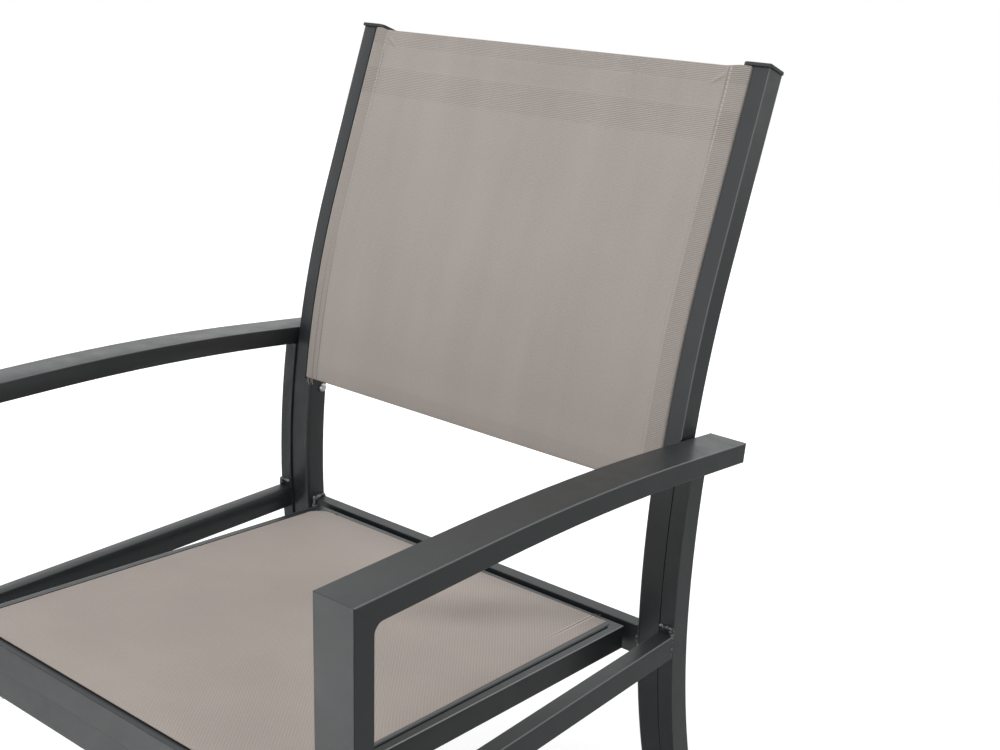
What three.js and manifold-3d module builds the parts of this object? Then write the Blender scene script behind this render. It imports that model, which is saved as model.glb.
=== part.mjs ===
// A sling patio chair: two back posts that run on to the floor, two side frames with flat armrests,
// a tilted seat frame, and two mesh slings that are held in slots by splines.
// Millimetres. +Z is up, the sitter faces -Y, and the sitter's left is +X.
// The side view measures y from the front of the back posts at their most forward point.
import * as THREE from 'three';
import { mergeVertices } from 'three/addons/utils/BufferGeometryUtils.js';
import Module from 'manifold-3d';

const wasm = await Module();
wasm.setup();

const degree = Math.PI / 180;

// Clearances, and how finely a bend is drawn
const contactGap = 0.3; // left between pieces that are welded, seated or plugged together
const cutOverrun = 4; // how far a cutter runs past the face that it cuts
const bendStep = 2.5 * degree; // turn of one facet of a bend

// Back posts: slotted tubes from the top of the back to the floor
const postSpan = 448; // clear width between the two posts
const postWidth = 25;
const postDepth = 25;
const postWall = 1.5;
const bellyHeight = 435; // height of the posts' most forward point
const backLean = 20.3 * degree;
const backStraightLength = 178; // straight length above the upper bend
const upperBendRadius = 915;
const lowerBendRadius = 705;
const legLean = 17 * degree;
const postLip = 4.8; // from the inner face to the slot
const postSlotWidth = 3.4;
const channelRadius = 4.2; // round channel behind the slot
const channelInset = 6.2; // from the front face to the channel's centre
const slotRunOut = 2.5; // length of the slot below the sling

// Caps on the posts' top ends
const capThickness = 3;
const capInnerOverhang = 3;
const capFrontOverhang = 2.3;
const capCornerRadius = 6;
const capCornerSteps = 4;

// Side frames: armrest, front leg, rear leg and side rail, with their inner faces in one plane
const sideGap = 1.3; // between a post and its side frame
const armrestHeight = 622; // top of the front corner
const armrestWidth = 38;
const armrestStep = 1.9; // how far its inner face stands outside the rear leg's
const armrestThickness = 18.8;
const armrestWall = 1.5;
const armrestFrontSlope = 0.95 * degree;
const armrestBendRadius = 2700;
const armrestBend = 5.65 * degree;
const armrestRearLength = 94;
const armrestTailReach = 60.1; // from the posts' most forward point to the armrests' rear ends
const endCapThickness = 1.6;
const frontLegReach = 444.8; // from the posts' most forward point to the front legs' front faces
const frontLegDepth = 19.5;
const frontLegWall = 1.5;
const insideCornerRadius = 8; // under the armrest's front corner
const insideCornerSteps = 4;
const rearLegWidth = 15.5;
const rearLegDepth = 25.5;
const rearLegWall = 1.5;
const rearLegLead = 1.8; // how far its front face stands ahead of the post's
const sideRailHeight = 23.5;
const sideRailWall = 2;
const sideRailTop = 409.2; // at the rear leg
const sideRailSlope = 0.97 * degree;

// Feet and other plastic plugs
const footHeight = 6;
const spigotLength = 18;

// Cross tubes: one behind the seat, one under its front and one behind the back sling
const crossTubeDepth = 14;
const crossTubeHeight = 31;
const crossTubeWall = 1.5;
const rearRailTop = 399;
const rearRailSetback = 10.1; // behind the posts' most forward point
const spreaderHeight = 30;
const spreaderDepth = 14;
const spreaderDrop = 43; // down the post from its top
const spreaderSetback = 10.5; // behind the post's front face

// Seat frame: four mitred tubes, tilted down to the rear
const seatWidth = 417;
const seatTubeWidth = 25;
const seatTubeHeight = 24;
const seatTubeWall = 1.5;
const seatSlope = 4.5 * degree;
const seatRearTop = 398;
const seatRearStep = 2.8; // rear edge, behind the posts' most forward point
const seatSlotLip = 7.3; // from the outer face to the slot
const seatSlotWidth = 4.2;
const seatSlotMargin = 14.8; // from the frame's corner to the slot's end

// Slings and the splines that hold their edges
const slingThickness = 1.2;
const backSlingDrop = 1.5; // below the posts' top ends
const backSlingLength = 390;
const seatSlingMargin = 7; // from the frame's front and rear edges
const seatSag = 5;
const backSplineRadius = 3;
const seatSplineRadius = 3;
const splineSides = 8;
const splineSteps = 12;
const channelSteps = 24;
const seatSlingCells = 12;

// Screws from each post into its rear leg
const upperScrewHeight = 530;
const lowerScrewHeight = 150;
const postScrewInset = 18.5; // from the post's front face
const screwRadius = 2.5;
const screwHeadRadius = 4.8;
const screwHeadHeight = 3.2;
const screwEndReach = 9; // past the rear leg's inner face
const nutFlangeRadius = 5.5;
const nutFlangeThickness = 0.7;
const nutBodyRadius = 3.6;
const nutBodyLength = 8;

// Bolts of the front cross rail and of the seat frame
const boltRadius = 3;
const boltHeadRadius = 5.5;
const boltHeadHeight = 3.5;
const boltEndReach = 14; // past the inner face of the last wall
const endPlugLength = 22;
const seatBoltSpacing = 300;
const seatNutLength = 9;
const seatNutRadius = 4.2;
const spacerRadius = 6;
const roundSides = 12;


// Places that follow from the sizes
const postInner = postSpan / 2;
const postOuter = postInner + postWidth;
const frameInner = postOuter + sideGap;
const armrestInner = frameInner + armrestStep;
const armrestOuter = armrestInner + armrestWidth;
const frontLegFront = -frontLegReach;
const frontLegRear = frontLegFront + frontLegDepth;
const slotCentre = postInner + postLip + postSlotWidth / 2;
const bossWidth = postLip + postSlotWidth / 2 + channelRadius + postWall;
const bossDepth = channelInset + channelRadius + postWall;
const lipDepth = channelInset - channelRadius;
const backSplineInset = lipDepth + contactGap + backSplineRadius;
const postLine = tracePost();
const armrestLine = traceArmrest();
const frontLegLine = follow({ y: frontLegFront, z: armrestHeight }, -Math.PI / 2, [
  { length: armrestHeight + frontLegDepth },
]);
const armrestTubeEnd = armrestLine.at(-1).s - endCapThickness - contactGap;

// The seat frame has axes of its own: from its rear top edge, forward along -y, with the tube tops at 0
const seatPlace = new THREE.Matrix4().makeRotationX(-seatSlope).setPosition(0, seatRearStep, seatRearTop);
const seatHalf = seatWidth / 2;
const seatReach = frontLegReach + seatRearStep - seatTubeHeight * Math.sin(seatSlope);
const seatLength = seatReach / Math.cos(seatSlope);
const seatSlotOuter = seatHalf - seatSlotLip;
const seatSlotInner = seatSlotOuter - seatSlotWidth;
const seatEdgeHalf = seatSlotInner + contactGap + slingThickness;
const seatEdgeMargin = seatSlotMargin + seatSlotWidth / 2;
const frontRailTop = -seatTubeHeight - contactGap;
const frontRailFront = -seatLength + (seatTubeWidth - crossTubeDepth) / 2;
const frontRailCentre = new THREE.Vector3(
  0,
  frontRailFront + crossTubeDepth / 2,
  frontRailTop - crossTubeHeight / 2,
);
const seatBoltX = seatBoltSpacing / 2;

const postMember = {
  line: postLine,
  near: 0,
  far: postDepth,
  fromX: postInner,
  toX: postOuter,
  wall: postWall,
  plugX: postInner + bossWidth + contactGap,
};
const rearLegMember = {
  line: postLine,
  near: -rearLegLead,
  far: rearLegDepth - rearLegLead,
  fromX: frameInner,
  toX: frameInner + rearLegWidth,
  wall: rearLegWall,
  plugX: frameInner + rearLegWall + contactGap,
};
const frontLegMember = {
  line: frontLegLine,
  near: 0,
  far: frontLegDepth,
  fromX: armrestInner,
  toX: armrestOuter,
  wall: frontLegWall,
  plugX: armrestInner + frontLegWall + contactGap,
};

// A side-view line is a list of samples: each has its place, its heading and its distance s along the line.
// A bend's samples lie on its arc. An offset is measured to the left of the heading.

function follow(start, heading, runs) {
  const samples = [{ y: start.y, z: start.z, heading, s: 0 }];
  for (const { length, radius, turn = 0 } of runs) {
    const steps = Math.max(1, Math.ceil(Math.abs(turn) / bendStep));
    const step = turn / steps;
    const travel = length ?? radius * Math.abs(step);
    const chord = length ?? 2 * radius * Math.sin(Math.abs(step) / 2);
    for (let i = 0; i < steps; i += 1) {
      const last = samples.at(-1);
      const along = last.heading + step / 2;
      samples.push({
        y: last.y + chord * Math.cos(along),
        z: last.z + chord * Math.sin(along),
        heading: last.heading + step,
        s: last.s + travel,
      });
    }
  }
  return samples;
}

function tracePost() {
  const floorRun = bellyHeight - lowerBendRadius * Math.sin(legLean);
  const top = {
    y: upperBendRadius * (1 - Math.cos(backLean)) + backStraightLength * Math.sin(backLean),
    z: bellyHeight + upperBendRadius * Math.sin(backLean) + backStraightLength * Math.cos(backLean),
  };
  return follow(top, -Math.PI / 2 - backLean, [
    { length: backStraightLength },
    { radius: upperBendRadius, turn: backLean },
    { radius: lowerBendRadius, turn: legLean },
    { length: floorRun / Math.cos(legLean) + postDepth },
  ]);
}

function traceArmrest() {
  const rearSlope = armrestFrontSlope + armrestBend;
  const bendReach = armrestBendRadius * (Math.sin(rearSlope) - Math.sin(armrestFrontSlope));
  const rearReach = armrestRearLength * Math.cos(rearSlope);
  const frontReach = frontLegReach + armrestTailReach - bendReach - rearReach;
  return follow({ y: frontLegFront, z: armrestHeight }, -armrestFrontSlope, [
    { length: frontReach / Math.cos(armrestFrontSlope) },
    { radius: armrestBendRadius, turn: -armrestBend },
    { length: armrestRearLength },
  ]);
}

function sampleAt(line, s) {
  const next = line.findIndex((sample) => sample.s >= s);
  const i = next < 0 ? line.length - 1 : Math.max(next, 1);
  const a = line[i - 1];
  const b = line[i];
  const share = (s - a.s) / (b.s - a.s);
  return {
    y: a.y + (b.y - a.y) * share,
    z: a.z + (b.z - a.z) * share,
    heading: a.heading + (b.heading - a.heading) * THREE.MathUtils.clamp(share, 0, 1),
    s,
  };
}

function beside(sample, offset) {
  return [sample.y - offset * Math.sin(sample.heading), sample.z + offset * Math.cos(sample.heading)];
}

function placeOn(line, s, offset) {
  return beside(sampleAt(line, s), offset);
}

function stretchOf(line, from, to) {
  const inside = line.filter((sample) => sample.s > from && sample.s < to);
  return [sampleAt(line, from), ...inside, sampleAt(line, to)];
}

function band(line, from, to, nearOffset, farOffset) {
  const samples = stretchOf(line, from, to);
  const near = samples.map((sample) => beside(sample, nearOffset));
  const far = samples.map((sample) => beside(sample, farOffset));
  return [...near, ...far.reverse()];
}

// Where the line that runs beside another, at an offset, comes down to a height
function comesDownTo(line, offset, height) {
  const heights = line.map((sample) => beside(sample, offset)[1]);
  const i = heights.findIndex((z) => z <= height);
  const share = (heights[i - 1] - height) / (heights[i - 1] - heights[i]);
  return line[i - 1].s + (line[i].s - line[i - 1].s) * share;
}

// Axes at a place on a line: x across the chair, y along the offset and z back towards the line's start
function axesOn(line, s) {
  const { y, z, heading } = sampleAt(line, s);
  return new THREE.Matrix4().makeRotationX(heading + Math.PI / 2).setPosition(0, y, z);
}

// Solids: shapes, and the joins and cuts between them

function bareCopy(geometry) {
  const copy = geometry.clone();
  copy.deleteAttribute('normal');
  copy.deleteAttribute('uv');
  return mergeVertices(copy);
}

function toSolid(geometry) {
  const { attributes, index } = bareCopy(geometry);
  return new wasm.Manifold(new wasm.Mesh({
    numProp: 3,
    vertProperties: new Float32Array(attributes.position.array),
    triVerts: new Uint32Array(index.array),
  }));
}

function toGeometry(solid) {
  const { vertProperties, triVerts } = solid.getMesh();
  const geometry = new THREE.BufferGeometry();
  geometry.setAttribute('position', new THREE.BufferAttribute(new Float32Array(vertProperties), 3));
  geometry.setIndex(new THREE.BufferAttribute(new Uint32Array(triVerts), 1));
  geometry.computeVertexNormals();
  return geometry;
}

function cut(geometry, ...cutters) {
  return toGeometry(cutters.reduce((solid, cutter) => solid.subtract(toSolid(cutter)), toSolid(geometry)));
}

function join(first, ...others) {
  return toGeometry(others.reduce((solid, other) => solid.add(toSolid(other)), toSolid(first)));
}

function mirrored(geometry) {
  const copy = bareCopy(geometry).scale(-1, 1, 1);
  const corners = copy.index.array;
  const flipped = corners.map((corner, i) => corners[i - (i % 3) + ((3 - (i % 3)) % 3)]);
  copy.setIndex(new THREE.BufferAttribute(flipped, 1));
  copy.computeVertexNormals();
  return copy;
}

function bothSides(geometry) {
  return join(geometry, mirrored(geometry));
}

// A plan-view outline with a height from one z to another
function plate(outline, fromZ, toZ) {
  const shape = new THREE.Shape(outline.map((point) => new THREE.Vector2(...point)));
  const geometry = new THREE.ExtrudeGeometry(shape, { depth: toZ - fromZ, bevelEnabled: false });
  return geometry.translate(0, 0, fromZ);
}

// A side-view outline, in y and z, with a width from one x to another
function slab(outline, fromX, toX) {
  return plate(outline, fromX, toX).rotateY(Math.PI / 2).rotateX(Math.PI / 2);
}

function block(low, high) {
  const size = high.map((value, axis) => value - low[axis]);
  const centre = high.map((value, axis) => (value + low[axis]) / 2);
  return new THREE.BoxGeometry(...size).translate(...centre);
}

function arc(centreA, centreB, radius, fromAngle, toAngle, steps) {
  const points = [];
  for (let i = 0; i <= steps; i += 1) {
    const angle = fromAngle + ((toAngle - fromAngle) * i) / steps;
    points.push([centreA + radius * Math.cos(angle), centreB + radius * Math.sin(angle)]);
  }
  return points;
}

// A layer of space that reaches past the whole chair, from one height to another
function layer(fromZ, toZ) {
  const reach = frontLegReach + postSpan;
  return block([-reach, -reach, fromZ], [reach, reach, toZ]);
}

function tube(member, from, to) {
  const { line, near, far, fromX, toX, wall } = member;
  const outline = band(line, from, to, near, far);
  const hollow = band(line, from - cutOverrun, to + cutOverrun, near + wall, far - wall);
  return cut(slab(outline, fromX, toX), slab(hollow, fromX + wall, toX - wall));
}

// A tube of rectangular section along x
function crossTube(outline, hollow, halfLength) {
  const bore = slab(hollow, -halfLength - cutOverrun, halfLength + cutOverrun);
  return cut(slab(outline, -halfLength, halfLength), bore);
}

// Round pieces are turned about z, from the origin upwards, and then laid along an axis
function turned(profile) {
  const points = profile.map((point) => new THREE.Vector2(...point));
  return new THREE.LatheGeometry(points, roundSides).rotateX(Math.PI / 2);
}

function pin(radius, length) {
  return turned([[0, 0], [radius, 0], [radius, length], [0, length]]);
}

function ring(innerRadius, outerRadius, length) {
  const profile = [[innerRadius, 0], [outerRadius, 0], [outerRadius, length], [innerRadius, length]];
  return turned([...profile, profile[0]]);
}

// The head lies below the origin and the shank above it
function headedScrew(radius, headRadius, headHeight, shankLength) {
  const crownShare = 0.7;
  return turned([
    [0, -headHeight],
    [headRadius * crownShare, -headHeight],
    [headRadius, -headHeight / 2],
    [headRadius, 0],
    [radius, 0],
    [radius, shankLength],
    [0, shankLength],
  ]);
}

function outwards(geometry, x, y, z) {
  return geometry.rotateY(Math.PI / 2).translate(x, y, z);
}

function inwards(geometry, x, y, z) {
  return geometry.rotateY(-Math.PI / 2).translate(x, y, z);
}

function forwards(geometry, x, y, z) {
  return geometry.rotateX(Math.PI / 2).translate(x, y, z);
}

// A path beside a line, for a rod or for the channel that it lies in
class SidePath extends THREE.Curve {
  constructor(from, to, offset) {
    super();
    Object.assign(this, { from, to, offset });
  }

  getPoint(t) {
    const [y, z] = placeOn(postLine, this.from + (this.to - this.from) * t, this.offset);
    return new THREE.Vector3(slotCentre, y, z);
  }
}

// The radius reaches the flats, and two of the flats face forwards and back
function rodSection(radius) {
  const half = Math.PI / splineSides;
  const points = arc(0, 0, radius / Math.cos(half), half, 2 * Math.PI - half, splineSides - 1);
  return new THREE.Shape(points.map((point) => new THREE.Vector2(...point)));
}

function rodBesidePost(from, to, offset, radius, steps) {
  const extrudePath = new SidePath(from, to, offset);
  return new THREE.ExtrudeGeometry(rodSection(radius), { steps, extrudePath });
}

// Back posts and what is fixed in them

function postScrewPlace(height) {
  return placeOn(postLine, comesDownTo(postLine, postScrewInset, height), postScrewInset);
}

function backPost() {
  const end = postLine.at(-1).s;
  const overEnds = [-cutOverrun, end + cutOverrun];
  const outer = slab(band(postLine, 0, end, 0, postDepth), postInner, postOuter);
  const core = slab(
    band(postLine, ...overEnds, postWall, postDepth - postWall),
    postInner + postWall,
    postOuter - postWall,
  );
  const besideSling = [-cutOverrun, backSlingDrop + backSlingLength + slotRunOut];
  const bossEnd = besideSling[1] + postWall;
  const boss = slab(band(postLine, -cutOverrun, bossEnd, 0, bossDepth), postInner, postInner + bossWidth);
  const slot = slab(
    band(postLine, ...besideSling, -cutOverrun, channelInset),
    postInner + postLip,
    postInner + postLip + postSlotWidth,
  );
  const channel = rodBesidePost(...besideSling, channelInset, channelRadius, channelSteps);
  const holes = [upperScrewHeight, lowerScrewHeight].map((height) => {
    const hole = pin(screwRadius + contactGap, postWidth + 2 * cutOverrun);
    return outwards(hole, postInner - cutOverrun, ...postScrewPlace(height));
  });
  return cut(outer, cut(core, boss), slot, channel, layer(-postDepth, footHeight + contactGap), ...holes);
}

function postCap() {
  const left = postInner - capInnerOverhang;
  const front = -capFrontOverhang;
  const radius = capCornerRadius;
  const corner = arc(left + radius, front + radius, radius, -Math.PI, -Math.PI / 2, capCornerSteps);
  const outline = [...corner, [frameInner, front], [frameInner, postDepth], [left, postDepth]];
  const top = plate(outline, contactGap, contactGap + capThickness);
  const plug = block(
    [postMember.plugX, postWall + contactGap, -spigotLength],
    [postOuter - postWall - contactGap, postDepth - postWall - contactGap, contactGap + capThickness / 2],
  );
  return join(top, plug).applyMatrix4(axesOn(postLine, 0));
}

function foot(member) {
  const { line, near, far, fromX, toX, wall, plugX } = member;
  const from = line.at(-2).s;
  const to = line.at(-1).s;
  const inset = wall + contactGap;
  const pad = slab(band(line, from, to, near, far), fromX, toX);
  const plug = slab(band(line, from, to, near + inset, far - inset), plugX, toX - inset);
  const top = armrestHeight;
  const plugTop = footHeight + spigotLength;
  return join(
    cut(pad, layer(-top, 0), layer(footHeight, top)),
    cut(plug, layer(-top, footHeight / 2), layer(plugTop, top)),
  );
}

function postScrew(height) {
  const length = postWidth + sideGap + screwEndReach + contactGap;
  const screw = headedScrew(screwRadius, screwHeadRadius, screwHeadHeight, length);
  return outwards(screw, postInner - contactGap, ...postScrewPlace(height));
}

// A flanged nut in the rear leg's inner wall, which also keeps the leg clear of the post
function postNut(height) {
  const hole = screwRadius + contactGap;
  const flangeStart = (sideGap - nutFlangeThickness) / 2;
  const profile = [
    [hole, flangeStart],
    [nutFlangeRadius, flangeStart],
    [nutFlangeRadius, flangeStart + nutFlangeThickness],
    [nutBodyRadius, flangeStart + nutFlangeThickness],
    [nutBodyRadius, nutBodyLength],
    [hole, nutBodyLength],
  ];
  return outwards(turned([...profile, profile[0]]), postOuter, ...postScrewPlace(height));
}

function spreaderBar() {
  const near = spreaderSetback;
  const far = near + spreaderDepth;
  const bottom = spreaderDrop + spreaderHeight;
  const wall = crossTubeWall;
  return crossTube(
    band(postLine, spreaderDrop, bottom, near, far),
    band(postLine, spreaderDrop + wall, bottom - wall, near + wall, far - wall),
    postInner - contactGap,
  );
}

// Side frames

function innerCorner() {
  const drop = armrestThickness * Math.sin(armrestFrontSlope);
  const s = (frontLegDepth + drop) / Math.cos(armrestFrontSlope);
  return { s, place: placeOn(armrestLine, s, -armrestThickness) };
}

function armrest() {
  const top = stretchOf(armrestLine, 0, armrestTubeEnd).map((sample) => beside(sample, 0));
  const under = stretchOf(armrestLine, innerCorner().s, armrestTubeEnd);
  const outline = [...top, ...under.map((sample) => beside(sample, -armrestThickness)).reverse()];
  const wall = armrestWall;
  const hollow = band(armrestLine, -cutOverrun, armrestTubeEnd + cutOverrun, -wall, wall - armrestThickness);
  return cut(slab(outline, armrestInner, armrestOuter), slab(hollow, armrestInner + wall, armrestOuter - wall));
}

function armrestEndCap() {
  const inset = armrestWall + contactGap;
  const lid = block(
    [armrestInner, -armrestThickness, -contactGap - endCapThickness],
    [armrestOuter, 0, -contactGap],
  );
  const plug = block(
    [armrestInner + inset, inset - armrestThickness, -contactGap - endCapThickness / 2],
    [armrestOuter - inset, -inset, spigotLength],
  );
  return join(lid, plug).applyMatrix4(axesOn(armrestLine, armrestTubeEnd));
}

function frontRailPlace() {
  const { y, z } = frontRailCentre.clone().applyMatrix4(seatPlace);
  return [y, z];
}

function frontLeg() {
  const [rearY, cornerZ] = innerCorner().place;
  const radius = insideCornerRadius;
  const weldGap = contactGap * Math.SQRT2;
  const bottom = footHeight + contactGap;
  const centre = [rearY + radius, cornerZ - radius - weldGap];
  const fillet = arc(...centre, radius, Math.PI, Math.PI / 2, insideCornerSteps);
  const outline = [
    [frontLegFront, bottom],
    [rearY, bottom],
    ...fillet,
    [rearY, cornerZ - weldGap],
    [frontLegFront, armrestHeight - weldGap],
  ];
  const hollow = [
    [frontLegFront + frontLegWall, -cutOverrun],
    [rearY - frontLegWall, -cutOverrun],
    [rearY - frontLegWall, armrestHeight],
    [frontLegFront + frontLegWall, armrestHeight],
  ];
  const bolt = pin(boltRadius + contactGap, armrestWidth + 2 * cutOverrun);
  return cut(
    slab(outline, armrestInner, armrestOuter),
    slab(hollow, armrestInner + frontLegWall, armrestOuter - frontLegWall),
    outwards(bolt, armrestInner - cutOverrun, ...frontRailPlace()),
  );
}

function rearLeg() {
  const { line, fromX, toX } = rearLegMember;
  const whole = tube(rearLegMember, comesDownTo(line, 0, armrestHeight), line.at(-1).s);
  const underside = -armrestThickness - contactGap;
  const overArmrest = band(armrestLine, 0, armrestTubeEnd, 2 * armrestThickness, underside);
  const nutHoles = [upperScrewHeight, lowerScrewHeight].map((height) => {
    const hole = pin(nutBodyRadius + contactGap, 2 * cutOverrun);
    return outwards(hole, fromX - cutOverrun, ...postScrewPlace(height));
  });
  return cut(
    whole,
    slab(overArmrest, fromX - cutOverrun, toX + cutOverrun),
    layer(-postDepth, footHeight + contactGap),
    ...nutHoles,
  );
}

function sideRail() {
  const start = { y: -rearLegLead, z: sideRailTop };
  const reach = (frontLegReach - frontLegDepth) / Math.cos(sideRailSlope);
  const line = follow(start, Math.PI - sideRailSlope, [{ length: reach }]);
  const member = {
    line,
    near: 0,
    far: sideRailHeight,
    fromX: frameInner,
    toX: frameInner + rearLegWidth,
    wall: sideRailWall,
  };
  const legBand = band(
    postLine,
    comesDownTo(postLine, 0, sideRailTop + sideRailHeight),
    comesDownTo(postLine, 0, sideRailTop - 2 * sideRailHeight),
    -rearLegLead - contactGap,
    rearLegDepth,
  );
  const frontFace = frontLegRear + contactGap;
  const top = armrestHeight;
  const legBlock = [[frontLegFront, 0], [frontFace, 0], [frontFace, top], [frontLegFront, top]];
  const spread = [frameInner - cutOverrun, frameInner + rearLegWidth + cutOverrun];
  return cut(tube(member, -cutOverrun, reach), slab(legBand, ...spread), slab(legBlock, ...spread));
}

// Cross rails and the bolts through them

function rearCrossRail() {
  const front = rearRailSetback;
  const back = front + crossTubeDepth;
  const bottom = rearRailTop - crossTubeHeight;
  const wall = crossTubeWall;
  const rail = crossTube(
    [[front, bottom], [back, bottom], [back, rearRailTop], [front, rearRailTop]],
    [
      [front + wall, bottom + wall],
      [back - wall, bottom + wall],
      [back - wall, rearRailTop - wall],
      [front + wall, rearRailTop - wall],
    ],
    postInner - contactGap,
  );
  const hole = pin(boltRadius + contactGap, crossTubeDepth + 2 * cutOverrun);
  return cut(rail, bothSides(forwards(hole, seatBoltX, back + cutOverrun, rearBoltPlace().z)));
}

// Where a rear bolt's axis meets the inner face of the seat frame's rear wall
function rearBoltPlace() {
  return new THREE.Vector3(seatBoltX, -seatTubeWall, -seatTubeHeight / 2).applyMatrix4(seatPlace);
}

function seatRearBolt() {
  const { y, z } = rearBoltPlace();
  const headFace = rearRailSetback + crossTubeDepth + contactGap;
  const bolt = headedScrew(boltRadius, boltHeadRadius, boltHeadHeight, headFace - y + boltEndReach);
  return forwards(bolt, seatBoltX, headFace, z);
}

function seatRearSpacer() {
  const { y, z } = rearBoltPlace();
  const tilt = spacerRadius * Math.tan(seatSlope);
  const seatFace = y + seatTubeWall / Math.cos(seatSlope) + tilt + contactGap;
  const railFace = rearRailSetback - contactGap;
  const spacer = ring(boltRadius + contactGap, spacerRadius, railFace - seatFace);
  return forwards(spacer, seatBoltX, railFace, z);
}

function seatRearNut() {
  const { y, z } = rearBoltPlace();
  const tilt = seatNutRadius * Math.tan(seatSlope);
  const nut = ring(boltRadius + contactGap, seatNutRadius, seatNutLength);
  return forwards(nut, seatBoltX, y - tilt - contactGap, z);
}

function frontCrossRail() {
  const wall = crossTubeWall;
  const front = frontRailFront;
  const back = front + crossTubeDepth;
  const top = frontRailTop;
  const bottom = top - crossTubeHeight;
  const rail = crossTube(
    [[front, bottom], [back, bottom], [back, top], [front, top]],
    [
      [front + wall, bottom + wall],
      [back - wall, bottom + wall],
      [back - wall, top - wall],
      [front + wall, top - wall],
    ],
    armrestInner - contactGap,
  );
  const hole = pin(boltRadius + contactGap, crossTubeHeight + 2 * cutOverrun);
  return cut(rail, bothSides(hole.translate(seatBoltX, frontRailCentre.y, bottom - cutOverrun)));
}

function frontRailPlug() {
  const half = crossTubeDepth / 2 - crossTubeWall - contactGap;
  const rise = crossTubeHeight / 2 - crossTubeWall - contactGap;
  const { y, z } = frontRailCentre;
  const end = armrestInner - contactGap;
  const body = block([end - endPlugLength, y - half, z - rise], [end, y + half, z + rise]);
  const hole = pin(boltRadius + contactGap, endPlugLength + 2 * cutOverrun);
  return cut(body, outwards(hole, end - endPlugLength - cutOverrun, y, z));
}

function frontRailBolt() {
  const length = armrestWidth + 2 * contactGap + boltEndReach;
  const bolt = headedScrew(boltRadius, boltHeadRadius, boltHeadHeight, length);
  return inwards(bolt, armrestOuter + contactGap, ...frontRailPlace());
}

function seatFrontBolt() {
  const headFace = frontRailTop - crossTubeHeight - contactGap;
  const length = seatTubeWall - seatTubeHeight - headFace + boltEndReach;
  const bolt = headedScrew(boltRadius, boltHeadRadius, boltHeadHeight, length);
  return bolt.translate(seatBoltX, frontRailCentre.y, headFace);
}

function seatFrontNut() {
  const nut = ring(boltRadius + contactGap, seatNutRadius, seatNutLength);
  const bottom = seatTubeWall + contactGap - seatTubeHeight;
  return nut.translate(seatBoltX, frontRailCentre.y, bottom);
}

// Seat frame, in its own axes

// A mitred tube of the seat frame: its outer and inner edges in plan, and the same edges one wall in
function seatTube(outer, inner, outerBore, innerBore) {
  const bore = plate([...outerBore, ...innerBore], seatTubeWall - seatTubeHeight, -seatTubeWall);
  return cut(plate([...outer, ...inner], -seatTubeHeight, 0), bore);
}

function seatSideRail() {
  const slotSteps = 6;
  const end = seatLength;
  const width = seatTubeWidth;
  const wall = seatTubeWall;
  const over = width + cutOverrun;
  const rail = seatTube(
    [[seatHalf, -contactGap], [seatHalf - width, -width - contactGap]],
    [[seatHalf - width, width + contactGap - end], [seatHalf, contactGap - end]],
    [[seatHalf - wall, over], [seatHalf - width + wall, over]],
    [[seatHalf - width + wall, -end - over], [seatHalf - wall, -end - over]],
  );
  const radius = seatSlotWidth / 2;
  const middle = seatSlotInner + radius;
  const slot = plate(
    [
      ...arc(middle, -seatEdgeMargin, radius, 0, Math.PI, slotSteps),
      ...arc(middle, seatEdgeMargin - end, radius, Math.PI, 2 * Math.PI, slotSteps),
    ],
    -seatTubeWall - cutOverrun,
    cutOverrun,
  );
  return cut(rail, slot);
}

function seatCrossTube() {
  const half = seatHalf;
  const width = seatTubeWidth;
  const wall = seatTubeWall;
  const gap = contactGap;
  return seatTube(
    [[half - gap, 0], [-half + gap, 0]],
    [[-half + width + gap, -width], [half - width - gap, -width]],
    [[half + wall, -wall], [-half - wall, -wall]],
    [[-half - wall, wall - width], [half + wall, wall - width]],
  );
}

function seatRearRail() {
  const inverse = seatPlace.clone().invert();
  const { y, z } = rearBoltPlace();
  const hole = forwards(pin(boltRadius + contactGap, 2 * cutOverrun), seatBoltX, y + cutOverrun, z);
  return cut(seatCrossTube(), bothSides(hole.applyMatrix4(inverse)));
}

function seatFrontRail() {
  const rail = seatCrossTube().rotateZ(Math.PI).translate(0, -seatLength, 0);
  const hole = pin(boltRadius + contactGap, 2 * cutOverrun);
  return cut(rail, bothSides(hole.translate(seatBoltX, frontRailCentre.y, -seatTubeHeight - cutOverrun)));
}

// Slings and splines

function backSling() {
  const from = backSlingDrop;
  const to = from + backSlingLength;
  const edge = postInner + postLip + contactGap + slingThickness;
  const face = -contactGap - slingThickness;
  const panel = slab(band(postLine, from, to, face, -contactGap), -edge, edge);
  const hemOutline = band(postLine, from, to, face + slingThickness / 2, lipDepth);
  return join(panel, bothSides(slab(hemOutline, edge - slingThickness, edge)));
}

function backSpline() {
  const to = backSlingDrop + backSlingLength;
  return rodBesidePost(backSlingDrop, to, backSplineInset, backSplineRadius, splineSteps);
}

// The outermost grid lines lie on the sling's edge and the next ones on the frame's inner edge
function gridPlace(share, edge, opening) {
  const lastShare = 1 - 2 / seatSlingCells;
  const overRail = Math.abs(share) > (1 + lastShare) / 2;
  return overRail ? Math.sign(share) * edge : (share / lastShare) * opening;
}

function bowl(place, opening) {
  return Math.max(0, 1 - (place / opening) ** 2);
}

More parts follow.
